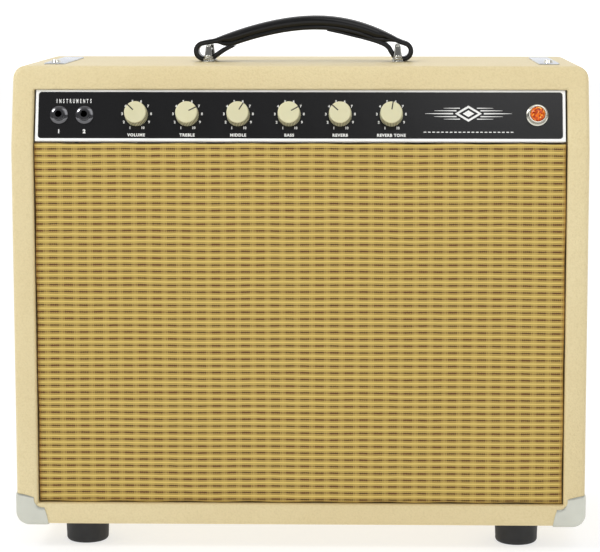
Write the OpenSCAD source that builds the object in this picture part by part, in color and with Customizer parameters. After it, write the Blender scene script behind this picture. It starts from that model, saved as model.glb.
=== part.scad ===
// Open-backed valve guitar combo: a covered wooden cabinet on rubber feet, with a
// chassis hung under the top board, a tilted control panel, one 12 inch speaker
// and a spring reverb tank. Millimetres, +Z up, front facing -Y, and the origin
// on the floor at the middle of the whole object.

/* [Cabinet] */
// Width of the cabinet over its covering
cab_w = 559; // [540:1:580]
// Height of the cabinet without its feet
cab_h = 450.5; // [440:0.5:470]
// Depth of the cabinet at its base
cab_d = 260; // [250:1:280]
// Thickness of a covered board
board_t = 21; // [19:0.5:23]
// Radius of the long outer edges
edge_r = 12; // [6:1:16]
// Height above the cabinet's underside at which the front starts to lean back
break_h = 372; // [368:1:376]
// Lean of the upper front and of the control panel, in degrees
slant = 16; // [12:1:18]
// Number of finger joints along each corner
fingers = 10; // [6:2:14]

/* [Controls] */
// Number of knobs, each on its own potentiometer
knob_count = 6; // [6:1:6]
// Distance between neighbouring knobs
knob_pitch = 49.4; // [46:0.1:50]
// Position of the first knob across the panel
knob_x = -158.5; // [-160:0.5:-150]
// Largest radius of a knob
knob_r = 11.3; // [10:0.1:12]
// Radius of a knob's flat face
knob_face_r = 10.5; // [9:0.1:10.5]
// Position of the first input jack across the panel
jack_x = -233.8; // [-235:0.1:-225]
// Distance between the two input jacks
jack_pitch = 24.7; // [24:0.1:30]
// Position of the pilot lamp across the panel
pilot_x = 229.3; // [220:0.1:232]
// Radius of a pot or switch shaft
shaft_r = 3.175; // [3:0.005:3.2]
// Radius of the bore of a jack
jack_bore_r = 3.3; // [3.25:0.01:3.4]

/* [Speaker] */
// Outer radius of the speaker's rim
rim_r = 154.5; // [150:0.5:156]
// Radius of the hole in the baffle
baffle_hole_r = 141; // [138:0.5:142]
// Radius of the bolt circle
bolt_circle_r = 148.2; // [147:0.1:149]
// Half of the cone's full travel
cone_travel = 2.5; // [1:0.5:3]

/* [Handle] */
// Distance from the middle to each crossbar
bar_x = 95.5; // [93:0.5:99]
// Width of the strap
strap_w = 26; // [22:1:28]

/* [Feet] */
// Radius of a rubber foot
foot_r = 21.6; // [19:0.1:23]
// Height of a rubber foot
foot_h = 25; // [20:1:28]
// Distance of each foot from the middle
foot_x = 215; // [190:1:225]

/* [Hidden] */

fit_gap = 0.05;
free_gap = 0.4;
round_fn = 64;
small_fn = 32;
reach = 600;                     // longer than anything it cuts

base_z = foot_h;                 // the cabinet's underside
top_z = base_z + cab_h;
in_x = cab_w / 2 - board_t;      // half width of the front opening
floor_z = base_z + board_t;      // upper side of the bottom board
ceil_z = top_z - board_t;        // underside of the top board
break_z = base_z + break_h;
lean_y = (cab_h - break_h) * tan(slant);

// Control panel, measured along its own normal from the leaning front plane
panel_recess = 4;
plate_t = 1.5;
surround_t = 4;
wall_y = panel_recess + surround_t;
sheet_t = 1.5;                   // chassis metal
rim_side = 2.6;                  // visible widths of the white surround
rim_top = 1.8;
rim_low = 2.5;
side_gap = 1.9;                  // between the surround and the side boards
rim_lip = 0.5;                   // how far the surround stands proud of the plate
panel_z0 = 8.1;
panel_z1 = 58.4;
axis_z = 33.7;
plate_hw = in_x - side_gap - rim_side;
front_lip = 1.9;                 // how far the top board's front edge hangs down
plate_r = 3;

knob_gap = 0.8;
knob_h = 15;
knob_top = knob_gap + knob_h;
knob_bore_d = 9;                 // depth at which the knob grips its shaft
pot_r = 12;
pot_d = 10;
bush_r = 4.75;
bush_out = 6.2;                  // how far a bushing stands out of the plate
nut_h = 2.4;
dial_rest = [-45.5, 63, 32, 60.5, -47.8, 9];   // pointer angles, clockwise from up

// Corner caps and the whole object's reach in front of and behind the cabinet
cap_t = 1.3;
cap_leg = 31;
knob_reach = cos(slant) * (knob_top - panel_recess) - sin(slant) * (axis_z - knob_face_r);
front_y = (knob_reach - cap_t - cab_d) / 2;    // lower front plane
back_y = front_y + cab_d;

// Chassis
chassis_hx = 255;
chassis_z0 = 402.2;
chassis_back = front_y + 238;
flange_w = 24;
bolt_x = 243.6;
bolt_front = 65;
bolt_r = 2.4;
strap_y0 = 53;
strap_len = 147;
strap_t = 1.6;
strap_hw = 10;

// Baffle and cloth
cloth_t = 1.2;
cloth_y = 4.5;
baffle_y = cloth_y + cloth_t;
baffle_t = 18;
grille_gap = 1;
grille_top = 401;
cleat_w = 19;

// Rear panels
rear_t = 12;
rear_y = cab_d - rear_t - 1;
rear_upper_z0 = 338;
rear_upper_z1 = 401.6;
rear_lower_z1 = 158;
rear_hx = in_x - 1.5;

// Speaker, measured back from the baffle's rear face
spk_y = front_y + baffle_y + baffle_t;
spk_z = (floor_z + grille_gap + grille_top) / 2;
basket_d = 80;
top_plate_d = 7;
magnet_d = 20;
magnet_r = 78;
back_plate_d = 7;
coil_r = 23;
spider_d = 67;

// Rear controls
rear_axis_z = 428;
inlet_x = 200;
fuse_x = 150;
power_x = 112;
standby_x = 76;
output_x = [-70, -98, -160];
switch_throw = 13;

// Valves, hanging under the chassis
valve_y = 205;
power_valve_x = [22, 70, 120];
preamp_valve_x = [-96, -136, -176, -216];
cap_can_y = 150;

// Handle
bar_z = top_z + 12.4;
bar_r = 1.9;
post_y = 20.5;
loop_x = 101;
loop_z = 10.8;
loop_r = 10.3;

pan_x = 214;
pan_y0 = 120;
pan_w = 110;
pan_h = 33;
pan_t = 1.2;
grommet_h = 3;

// Routes of the cables, from end to end
speaker_lead = [
    [-60, 22, 408], [-60, 22, 400], [-59, 17, 386], [-57, 5, 372], [-54, -12, 361],
    [-50, -29, 351], [-47, -43, 342], [-45, -53, 335], [-43.9, -60.6, 330]
];
reverb_lead = [
    [-236, 40, 408], [-236, 40, 400], [-240, 40, 380], [-246, 40, 350], [-250, 41, 300],
    [-250, 42, 250], [-250, 43, 200], [-250, 44, 150], [-249, 45, 110], [-246, 46, 85],
    [-240, 46, 71], [-231, 46, 65], [-222.4, 46, 64]
];

function arc(cx, cy, r, a0, a1, n) =
    [for (i = [0:n]) let (a = a0 + (a1 - a0) * i / n) [cx + r * cos(a), cy + r * sin(a)]];

function round_rect(x0, y0, x1, y1, r, n = 6) = concat(
    arc(x1 - r, y1 - r, r, 0, 90, n), arc(x0 + r, y1 - r, r, 90, 180, n),
    arc(x0 + r, y0 + r, r, 180, 270, n), arc(x1 - r, y0 + r, r, 270, 360, n));

function cab_profile() = [
    [front_y, base_z], [back_y, base_z], [back_y, top_z],
    [front_y + lean_y, top_z], [front_y, break_z]];

// Extrudes a (Y, Z) outline along X
module yz_extrude(x0, x1) {
    translate([x0, 0, 0]) rotate([90, 0, 90]) linear_extrude(x1 - x0) children();
}

// Extrudes an (X, Z) outline along Y
module xz_extrude(y0, y1) {
    translate([0, y1, 0]) rotate([90, 0, 0]) linear_extrude(y1 - y0) children();
}

// The panel's own frame: Y along the inward normal, Z up the slope
module on_panel() {
    translate([0, front_y, break_z]) rotate([-slant, 0, 0]) children();
}

// On the face of the control plate, with +Z pointing out of it
module on_plate(x, z = axis_z) {
    on_panel() translate([x, panel_recess, z]) rotate([90, 0, 0]) children();
}

// On the chassis' rear face, with +Z pointing back out of it
module on_rear(x, z = rear_axis_z) {
    translate([x, chassis_back, z]) rotate([-90, 0, 0]) children();
}

// On the speaker's axis at the baffle's rear face, with +Z pointing back
module on_speaker() {
    translate([0, spk_y, spk_z]) rotate([-90, 0, 0]) children();
}

module ring(r_out, r_in, h, fn = round_fn) {
    difference() {
        cylinder(r = r_out, h = h, $fn = fn);
        translate([0, 0, -1]) cylinder(r = r_in, h = h + 2, $fn = fn);
    }
}

module hex_nut(flat_r, bore_r, h) {
    difference() {
        cylinder(r = flat_r / cos(30), h = h, $fn = 6);
        translate([0, 0, -1]) cylinder(r = bore_r, h = h + 2, $fn = small_fn);
    }
}

module cab_outline(grow = 0) {
    polygon(round_rect(-cab_w / 2 - grow, base_z - grow, cab_w / 2 + grow, top_z + grow,
        edge_r + grow));
}

module cab_solid() {
    intersection() {
        xz_extrude(front_y - 1, back_y + 1) cab_outline();
        yz_extrude(-cab_w / 2 - 1, cab_w / 2 + 1) polygon(cab_profile());
    }
}

// The fingers that belong to the top and bottom boards
module finger_slots() {
    step = cab_d / fingers;
    for (i = [1:2:fingers - 1])
        translate([-reach, front_y + i * step, 0]) cube([2 * reach, step, reach]);
}

module side_board(side) {
    color("wheat") difference() {
        intersection() {
            cab_solid();
            translate([side > 0 ? in_x : -reach, -reach, 0])
                cube([reach - in_x, 2 * reach, reach]);
        }
        intersection() {
            finger_slots();
            union() {
                translate([-reach, -reach, ceil_z]) cube([2 * reach, 2 * reach, board_t + 1]);
                translate([-reach, -reach, base_z - 1]) cube([2 * reach, 2 * reach, board_t + 1]);
            }
        }
    }
}

// A top or bottom board between z0 and z1, with its fingers
module cross_board(z0, z1) {
    intersection() {
        cab_solid();
        translate([-reach, -reach, z0]) cube([2 * reach, 2 * reach, z1 - z0]);
        union() {
            translate([-in_x, -reach, 0]) cube([2 * in_x, 2 * reach, reach]);
            finger_slots();
        }
    }
}

module chassis_bolt_places() {
    for (x = [-bolt_x, bolt_x]) translate([x, front_y + bolt_front, 0]) children();
}

module handle_post_places() {
    for (x = [-bar_x, bar_x], y = [-post_y, post_y])
        translate([x, front_y + cab_d / 2 + y, top_z]) children();
}

module top_board() {
    color("wheat") difference() {
        union() {
            cross_board(ceil_z, top_z);
            intersection() {
                cab_solid();
                translate([-in_x, front_y, ceil_z - front_lip])
                    cube([2 * in_x, 23.4, front_lip + 1]);
            }
        }
        chassis_bolt_places() translate([0, 0, ceil_z - 1])
            cylinder(r = bolt_r + 0.2, h = board_t + 2, $fn = small_fn);
        handle_post_places() translate([0, 0, -15])
            cylinder(r = 2.5 + fit_gap, h = 16, $fn = small_fn);
    }
}

module bottom_board() {
    color("wheat") difference() {
        cross_board(base_z, floor_z);
        foot_places() translate([0, 0, base_z - 1])
            cylinder(r = 2 + fit_gap, h = 16, $fn = small_fn);
    }
}

module speaker_bolt_places() {
    on_speaker() for (a = [22.5:45:360]) rotate([0, 0, a]) translate([bolt_circle_r, 0, 0])
        children();
}

module baffle_board() {
    hx = in_x - grille_gap - cloth_t;
    z0 = floor_z + grille_gap + cloth_t;
    z1 = grille_top - cloth_t;
    color("tan") difference() {
        translate([-hx, front_y + baffle_y, z0]) cube([2 * hx, baffle_t, z1 - z0]);
        on_speaker() translate([0, 0, -baffle_t - 1])
            cylinder(r = baffle_hole_r, h = baffle_t + 2, $fn = round_fn);
        speaker_bolt_places() {
            translate([0, 0, -baffle_t - 1])
                cylinder(r = 2.5 + fit_gap, h = baffle_t + 2, $fn = small_fn);
            translate([0, 0, -baffle_t - 1]) cylinder(r = 5.2, h = 4.2, $fn = small_fn);
        }
    }
}

module panel_cleats() {
    baffle_back = front_y + baffle_y + baffle_t;
    color("burlywood") for (side = [-1, 1]) {
        x0 = side < 0 ? -in_x : in_x - cleat_w;
        translate([x0, baffle_back, floor_z]) cube([cleat_w, cleat_w, 340]);
        translate([x0, front_y + rear_y - cleat_w, floor_z])
            cube([cleat_w, cleat_w, rear_lower_z1 - floor_z]);
        translate([x0, front_y + rear_y - cleat_w, rear_upper_z0])
            cube([cleat_w, cleat_w, rear_upper_z1 - rear_upper_z0]);
    }
}

// Cloth stretched over the baffle's face and folded over its four edges
module grille_cloth() {
    hx = in_x - grille_gap;
    z0 = floor_z + grille_gap;
    color("goldenrod") difference() {
        translate([-hx, front_y + cloth_y, z0])
            cube([2 * hx, cloth_t + baffle_t, grille_top - z0]);
        translate([-hx + cloth_t, front_y + baffle_y, z0 + cloth_t])
            cube([2 * (hx - cloth_t), baffle_t + 1, grille_top - z0 - 2 * cloth_t]);
    }
}

rear_screw_x = [-rear_hx + 10, rear_hx - 10];

module rear_panel(z0, z1) {
    color("wheat") difference() {
        translate([-rear_hx, front_y + rear_y, z0]) cube([2 * rear_hx, rear_t, z1 - z0]);
        for (x = rear_screw_x, z = [z0 + 14, z1 - 14])
            translate([x, back_y + 1, z]) rotate([90, 0, 0])
                cylinder(r = 2 + fit_gap, h = rear_t + 4, $fn = small_fn);
    }
}

// A pressed metal cap over one bottom corner, for the front left corner
module corner_cap() {
    x0 = -cab_w / 2;
    notch_r = 8.5;
    difference() {
        intersection() {
            xz_extrude(front_y - cap_t, front_y + cap_leg) cab_outline(cap_t);
            translate([x0 - 5, front_y - 5, base_z - 5])
                cube([cap_leg + 5, cap_leg + 5, cap_leg + 5]);
        }
        cab_solid();
        translate([x0 + board_t, -reach, floor_z]) cube([cap_leg, 2 * reach, cap_leg]);
        translate([x0 + board_t + 4.5, front_y + 1, floor_z + 4.5]) rotate([90, 0, 0])
            cylinder(r = notch_r, h = 4, $fn = small_fn);
        cap_screw_holes();
    }
}

module cap_screw_holes() {
    translate([-cab_w / 2 - 5, front_y + 20, base_z + 20]) rotate([0, 90, 0])
        cylinder(r = 1.7, h = 9, $fn = small_fn);
    translate([-cab_w / 2 + 20, front_y + 20, base_z - 5])
        cylinder(r = 1.7, h = 9, $fn = small_fn);
}

module four_corners() {
    mid = front_y + cab_d / 2;
    for (flip_x = [0, 1], flip_y = [0, 1])
        mirror([flip_x, 0, 0]) translate([0, mid, 0]) mirror([0, flip_y, 0])
            translate([0, -mid, 0]) children();
}

module corner_caps() {
    color("lightgray") four_corners() corner_cap();
}

// A wood screw whose head rests on z = 0, pointing down
module wood_screw(head_r, head_h, shank_r, length) {
    difference() {
        union() {
            cylinder(r1 = head_r, r2 = head_r * 0.72, h = head_h, $fn = small_fn);
            translate([0, 0, -length]) cylinder(r = shank_r, h = length, $fn = small_fn);
        }
        for (a = [0, 90]) rotate([0, 0, a]) translate([-head_r * 0.5, -0.4, head_h * 0.4])
            cube([head_r, 0.8, head_h]);
    }
}

module cabinet_screws() {
    color("silver") {
        four_corners() {
            translate([-cab_w / 2 - cap_t, front_y + 20, base_z + 20]) rotate([0, -90, 0])
                wood_screw(3.2, 1.2, 1.6, cap_t);
            translate([-cab_w / 2 + 20, front_y + 20, base_z - cap_t]) rotate([180, 0, 0])
                wood_screw(3.2, 1.2, 1.6, cap_t);
        }
        for (x = rear_screw_x, z = [floor_z + 15, rear_lower_z1 - 14,
            rear_upper_z0 + 14, rear_upper_z1 - 14])
            translate([x, front_y + rear_y + rear_t, z]) rotate([-90, 0, 0])
                wood_screw(4.2, 1.0, 2, rear_t);
    }
}

module foot_places() {
    inset = foot_r + 20;
    for (x = [-foot_x, foot_x], y = [front_y + inset, back_y - inset])
        translate([x, y, 0]) children();
}

module foot() {
    lip = 4;
    rotate_extrude($fn = round_fn) polygon(concat(
        [[5.2, 8], [2.1, 8], [2.1, foot_h], [foot_r, foot_h]],
        [[foot_r - 0.9, lip]], arc(foot_r - 0.9 - lip, lip, lip, 0, -90, 5), [[5.2, 0]]));
}

module feet() {
    color("dimgray") foot_places() foot();
}

module foot_screws() {
    color("silver") foot_places() {
        translate([0, 0, 7.4]) rotate([180, 0, 0]) wood_screw(3.8, 2.4, 2, 0.01);
        translate([0, 0, 7.4]) cylinder(r = 2, h = foot_h - 7.4 + 14, $fn = small_fn);
        translate([0, 0, 7.4]) ring(5, 2, 0.6, small_fn);
    }
}

// Upper and lower edge of the strap's arch, above the cabinet's top. The strap has
// settled a little to the right.
function settle(x) = 2.6 * sin(x / 118 * 180);
function arch_top(x) = 46.2 - x * x / 388 + settle(x);
function arch_low(x) = 31.8 - x * x / 380 + settle(x);

// One half of the strap's outline, from its crown round the loop to its underside. The
// left end's fold is drawn out, the right end's is pushed together and ends further in.
left_fold = [[90, 2.4], [80, 9.7], [72.6, 13.3], [72, 14.6]];
right_fold = [[90.4, 3], [86.4, 9.4], [83.2, 15], [74.4, 19], [62, 22.2], [51.4, 24.8],
    [38, 28.2], [26, 30.6]];

function strap_half(side) = concat(
    [for (x = [0:9.6:96.1]) [side * x, arch_top(side * x)]],
    [for (p = arc(loop_x, loop_z, loop_r, 60, -118, 12)) [side * p[0], p[1]]],
    [for (p = side < 0 ? left_fold : right_fold) [side * p[0], p[1]]],
    [for (x = [side < 0 ? 64 : 16:-8:-0.1]) [side * x, arch_low(side * x)]]);

// The eyes of the two loops, up to where the leather folds back
function left_eye() = concat(arc(loop_x - 0.4, loop_z, 5.6, 78, -112, 9),
    [[92, 6.3], [84, 13.4], [83.4, 16.6], [86, 18], [91, 17.6]]);
function right_eye() = concat(arc(loop_x - 0.6, loop_z, 5.6, 66, -116, 9),
    [[93.8, 6.2], [91.4, 10.4], [88.3, 17.2], [88.8, 19.8], [94.6, 18.9]]);

module strap_outline() {
    right = strap_half(1);
    left = strap_half(-1);
    last = len(left) - 1;
    difference() {
        polygon(concat(right, [for (i = [last - 1:-1:1]) left[i]]));
        polygon(right_eye());
        polygon([for (p = left_eye()) [-p[0], p[1]]]);
    }
}

module rivet_places() {
    mid = front_y + cab_d / 2;
    translate([-76.3, mid, top_z + 11.1]) rotate([0, -26, 0]) children();
    translate([78.8, mid, top_z + 16.6]) rotate([0, 24, 0]) children();
}

module handle_strap() {
    mid = front_y + cab_d / 2;
    color("black") difference() {
        translate([0, 0, top_z]) xz_extrude(mid - strap_w / 2, mid + strap_w / 2)
            strap_outline();
        rivet_places() translate([0, 0, -1]) cylinder(r = 1.6, h = 5, $fn = small_fn);
    }
}

module handle_rivets() {
    color("silver") rivet_places() {
        translate([0, 0, -0.6]) cylinder(r = 1.5, h = 4, $fn = small_fn);
        translate([0, 0, -1.8]) cylinder(r1 = 2.2, r2 = 3.2, h = 1.2, $fn = small_fn);
    }
}

// A turned post with a flared foot, a collar, a conical neck and a stud below
module handle_post() {
    rotate_extrude($fn = small_fn) polygon(concat(
        [[0, -14], [2.5, -14], [2.5, 0], [6.1, 0], [6.1, 0.9], [4.4, 4.4], [4.6, 4.8],
        [4.6, 5.6], [3.7, 6.0]], arc(0, 14.6, 2.9, 0, 90, 5)));
}

module handle_brackets() {
    color("silver") for (x = [-bar_x, bar_x]) union() {
        for (y = [-post_y, post_y])
            translate([x, front_y + cab_d / 2 + y, top_z]) handle_post();
        translate([x, front_y + cab_d / 2 - post_y, bar_z]) rotate([-90, 0, 0])
            cylinder(r = bar_r, h = 2 * post_y, $fn = small_fn);
    }
}

module chassis_straps() {
    color("silver") for (side = [-1, 1]) difference() {
        translate([0, 0, top_z]) linear_extrude(strap_t)
            polygon(round_rect(side * bolt_x - strap_hw, front_y + strap_y0,
                side * bolt_x + strap_hw, front_y + strap_y0 + strap_len, 2.5, 4));
        chassis_bolt_places() translate([0, 0, top_z - 1])
            cylinder(r = bolt_r + 0.1, h = strap_t + 2, $fn = small_fn);
    }
}

module chassis_bolts() {
    nut_z = ceil_z - sheet_t;
    color("silver") chassis_bolt_places() {
        difference() {
            union() {
                translate([0, 0, top_z + strap_t])
                    cylinder(r1 = 5, r2 = 3.8, h = 2.6, $fn = small_fn);
                translate([0, 0, nut_z - 5])
                    cylinder(r = bolt_r, h = top_z + strap_t - nut_z + 5, $fn = small_fn);
            }
            for (a = [0, 90]) rotate([0, 0, a]) translate([-2.4, -0.5, top_z + strap_t + 1.2])
                cube([4.8, 1, 3]);
        }
        translate([0, 0, nut_z - 4]) hex_nut(4, bolt_r, 4);
    }
}

// Y of the leaning front wall at height z, on its outer face or t behind it
function wall_at(z, t = 0) = front_y + (wall_y + t + (z - break_z) * sin(slant)) / cos(slant);

// Floor, front wall, rear wall and two flanged ends, with a fine seam between them
module chassis_plates() {
    seam = 0.1;
    z1 = chassis_z0 + sheet_t;
    z2 = z1 + seam;
    yz_extrude(-chassis_hx, chassis_hx) polygon([[wall_at(chassis_z0), chassis_z0],
        [chassis_back, chassis_z0], [chassis_back, z1], [wall_at(z1), z1]]);
    yz_extrude(-chassis_hx, chassis_hx) polygon([[wall_at(z2), z2],
        [wall_at(z2, sheet_t), z2], [wall_at(ceil_z, sheet_t), ceil_z],
        [wall_at(ceil_z), ceil_z]]);
    translate([-chassis_hx, chassis_back - sheet_t, z2])
        cube([2 * chassis_hx, sheet_t, ceil_z - z2]);
    for (side = [-1, 1]) {
        x0 = side > 0 ? chassis_hx - sheet_t : -chassis_hx;
        yz_extrude(x0, x0 + sheet_t) polygon([[wall_at(z2, sheet_t) + seam, z2],
            [chassis_back - sheet_t - seam, z2], [chassis_back - sheet_t - seam, ceil_z],
            [wall_at(ceil_z, sheet_t) + seam, ceil_z]]);
        translate([side > 0 ? chassis_hx - flange_w - sheet_t + 0.5 : 0.5 - chassis_hx,
            front_y + 45, ceil_z - sheet_t]) cube([flange_w, 170, sheet_t]);
    }
}

module chassis() {
    color("gainsboro") difference() {
        chassis_plates();
        chassis_bolt_places() translate([0, 0, ceil_z - 5])
            cylinder(r = bolt_r + 0.1, h = 10, $fn = small_fn);
        panel_holes();
        rear_holes();
        valve_places() translate([0, 0, chassis_z0 - 1]) cylinder(r = 13.6, h = 4, $fn = round_fn);
        preamp_places() translate([0, 0, chassis_z0 - 1]) cylinder(r = 9.6, h = 4, $fn = small_fn);
        cable_places() cylinder(r = 4, h = 12, center = true, $fn = small_fn);
    }
}

module knob_places() {
    for (i = [0:knob_count - 1]) on_plate(knob_x + i * knob_pitch) children();
}

module jack_places() {
    for (i = [0, 1]) on_plate(jack_x + i * jack_pitch) children();
}

module panel_holes() {
    depth = surround_t + sheet_t + 3;
    knob_places() translate([0, 0, -depth])
        cylinder(r = bush_r + fit_gap, h = 2 * depth, $fn = small_fn);
    jack_places() translate([0, 0, -depth])
        cylinder(r = bush_r + fit_gap, h = 2 * depth, $fn = small_fn);
    on_plate(pilot_x) translate([0, 0, -depth])
        cylinder(r = 8.6, h = 2 * depth, $fn = small_fn);
}

module rear_holes() {
    for (x = [power_x, standby_x]) on_rear(x) translate([0, 0, -4])
        cylinder(r = 6 + fit_gap, h = 8, $fn = small_fn);
    for (x = output_x) on_rear(x) translate([0, 0, -4])
        cylinder(r = bush_r + fit_gap, h = 8, $fn = small_fn);
    on_rear(fuse_x) translate([0, 0, -4]) cylinder(r = 6.5 + fit_gap, h = 8, $fn = small_fn);
    translate([inlet_x - 14, chassis_back - 4, rear_axis_z - 10]) cube([28, 8, 20]);
}

module valve_places() {
    for (x = power_valve_x) translate([x, front_y + valve_y, 0]) children();
}

module preamp_places() {
    for (x = preamp_valve_x) translate([x, front_y + valve_y, 0]) children();
}

module cable_places() {
    for (route = [speaker_lead, reverb_lead])
        translate([route[0][0], route[0][1], chassis_z0]) children();
}

function plate_outline() =
    round_rect(-plate_hw, panel_z0 + rim_low, plate_hw, panel_z1 - rim_top, plate_r, 5);

// White surround: a plate with a raised rim that the black plate sits in
module panel_surround() {
    hx = in_x - side_gap;
    color("white") difference() {
        on_panel() translate([-hx, panel_recess - rim_lip, panel_z0])
            cube([2 * hx, surround_t + rim_lip, panel_z1 - panel_z0]);
        on_panel() xz_extrude(panel_recess - 3, panel_recess + plate_t)
            polygon(plate_outline());
        panel_holes();
    }
}

module control_plate() {
    color("black") difference() {
        on_panel() xz_extrude(panel_recess, panel_recess + plate_t)
            polygon(plate_outline());
        panel_holes();
    }
}

module rear_plate() {
    hx = 246;
    color("black") difference() {
        translate([-hx, chassis_back, chassis_z0 + 3])
            cube([2 * hx, 1, ceil_z - chassis_z0 - 8]);
        rear_holes();
    }
}

// A knob with a hollow back, gripping its shaft near the face
module knob(i) {
    taper = [[knob_r, knob_gap], [knob_r, knob_gap + 1.4], [knob_face_r + 0.35, knob_top - 1.2],
        [knob_face_r, knob_top]];
    color("cornsilk") on_plate(knob_x + i * knob_pitch) rotate([0, 0, -dial_rest[i]])
        difference() {
            rotate_extrude($fn = round_fn) polygon(concat([[0, knob_top]], [
                [0, knob_top - 1.8], [shaft_r, knob_top - 1.8], [shaft_r, knob_bore_d],
                [8.4, knob_bore_d], [8.4, knob_gap]], taper));
            translate([-0.35, 0, knob_top - 0.3]) cube([0.7, knob_r, 1]);
        }
}

// A pot shaft that runs in the bushing
module pot_shaft(i) {
    color("silver") on_plate(knob_x + i * knob_pitch)
        translate([0, 0, -surround_t - sheet_t - pot_d + 2])
            cylinder(r = shaft_r, h = surround_t + sheet_t + pot_d - 2 + knob_top - 1.8,
                $fn = small_fn);
}

module pot_bodies() {
    back = surround_t + sheet_t;
    color("gray") knob_places() difference() {
        union() {
            translate([0, 0, -back - pot_d]) cylinder(r = pot_r, h = pot_d, $fn = round_fn);
            translate([0, 0, -back - 1]) cylinder(r = bush_r, h = back + 1 + bush_out,
                $fn = small_fn);
            translate([-9, -pot_r - 6, -back - 4]) cube([18, 10, 1.2]);
        }
        translate([0, 0, -back - pot_d + 1.6])
            cylinder(r = shaft_r + 0.075, h = 40, $fn = small_fn);
    }
}

module panel_nuts() {
    color("silver") {
        knob_places() hex_nut(6.35, bush_r, nut_h);
        jack_places() {
            rotate_extrude($fn = round_fn) polygon([[bush_r, 0], [8.8, 0], [8.8, 0.9],
                [8.3, 1.7], [7.2, 2.5], [6.6, 3.7], [5.6, 4.4], [bush_r, 4.5]]);
        }
        for (x = output_x) on_rear(x) translate([0, 0, 1]) hex_nut(6.35, bush_r, nut_h);
        for (x = [power_x, standby_x]) on_rear(x) translate([0, 0, 1]) hex_nut(8, 6, 2.5);
    }
}

// An open-frame jack behind a wall: threaded bushing, frame, contact leaves and wafers.
// z = 0 is the face it is clamped to.
module jack(wall, out) {
    back = wall + 2;
    difference() {
        union() {
            translate([0, 0, -back]) cylinder(r = bush_r, h = back + out, $fn = small_fn);
            translate([-9, -7, -back]) cube([18, 14, 2]);
        }
        translate([0, 0, -back - 2])
            cylinder(r = jack_bore_r, h = 40, $fn = round_fn);
    }
    for (side = [-1, 1])
        translate([side * 6.8 - 0.4, -3, -back - 24]) cube([0.8, 6, 24]);
    translate([-9, -7, -back - 27]) cube([18, 14, 3]);
}

module input_jacks() {
    color("silver") jack_places() jack(surround_t + sheet_t, bush_out - 0.4);
}

module output_jacks() {
    color("silver") for (x = output_x) on_rear(x) jack(sheet_t, 5.2);
}

module pilot_bezel() {
    color("silver") on_plate(pilot_x) {
        rotate_extrude($fn = round_fn) polygon([[7.6, 0], [10.9, 0], [10.9, 1.8],
            [10.2, 3], [9.2, 3.6], [9.2, 8], [8.6, 8.8], [7.6, 8.8]]);
        translate([0, 0, -14]) ring(8.5, 7.6, 14);
    }
}

// The faceted lens: a stack of eight-sided steps under a flat
module pilot_jewel() {
    color("orange") on_plate(pilot_x) {
        translate([0, 0, 2]) cylinder(r = 7.5, h = 5.5, $fn = round_fn);
        translate([0, 0, 7.5]) cylinder(r1 = 7.4, r2 = 5.6, h = 2.4, $fn = 12);
        translate([0, 0, 9.9]) cylinder(r1 = 5.6, r2 = 2.4, h = 1.2, $fn = 12);
    }
}

module pilot_lamp() {
    color("ivory") on_plate(pilot_x) {
        translate([0, 0, -10]) cylinder(r = 4.6, h = 7, $fn = small_fn);
        translate([0, 0, -3]) cylinder(r = 3.6, h = 3, $fn = small_fn);
    }
    color("silver") on_plate(pilot_x) translate([0, 0, -32])
        cylinder(r = 7.2, h = 22, $fn = small_fn);
}

// A bat-shaped lever that rocks about the switch's centre
module switch_lever(x) {
    pivot = 2;
    color("silver") on_rear(x) translate([0, 0, pivot]) rotate([-switch_throw, 0, 0]) {
        rotate_extrude($fn = small_fn) polygon(concat(
            [[0, -5], [1.5, -5], [1.5, 6], [2.7, 13]], arc(0, 13.4, 2.7, 0, 90, 5)));
        rotate([0, 90, 0]) cylinder(r = 2.2, h = 6, center = true, $fn = small_fn);
    }
}

module switch_bodies() {
    for (x = [power_x, standby_x]) {
        color("silver") on_rear(x) difference() {
            translate([0, 0, -6]) cylinder(r = 6, h = 6 + 5, $fn = small_fn);
            translate([0, 0, -5]) cylinder(r = 4.4, h = 11, $fn = small_fn);
        }
        color("dimgray") on_rear(x) translate([-9, -14, -26]) cube([18, 28, 20]);
    }
}

module fuse_holder() {
    color("dimgray") on_rear(fuse_x) difference() {
        union() {
            translate([0, 0, -38]) cylinder(r = 6.5, h = 39, $fn = small_fn);
            translate([0, 0, 1]) cylinder(r = 8, h = 2, $fn = small_fn);
        }
        translate([0, 0, -34]) cylinder(r = 4.5, h = 40, $fn = small_fn);
    }
}

module fuse_cap() {
    color("black") on_rear(fuse_x) difference() {
        union() {
            translate([0, 0, 3.4]) cylinder(r = 7.2, h = 8, $fn = small_fn);
            translate([0, 0, -30]) cylinder(r = 4.1, h = 33.4, $fn = small_fn);
        }
        translate([-6, -0.6, 10]) cube([12, 1.2, 2]);
    }
}

// A three-pin mains inlet with its flange and pins
module mains_inlet() {
    translate([inlet_x, chassis_back + 1, rear_axis_z]) {
        color("black") difference() {
            union() {
                translate([-25, 0, -12]) cube([50, 3, 24]);
                translate([-13.8, -21, -9.8]) cube([27.6, 22, 19.6]);
            }
            translate([-12, -16, -8]) cube([24, 20, 16]);
            for (side = [-1, 1]) translate([side * 20, 5, 0]) rotate([90, 0, 0])
                cylinder(r = 1.7, h = 10, $fn = small_fn);
        }
        color("silver") for (p = [[-7, -1.5], [7, -1.5], [0, 2.5]])
            translate([p[0] - 1, -16, p[1] - 2]) cube([2, 12, 4]);
    }
}

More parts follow.
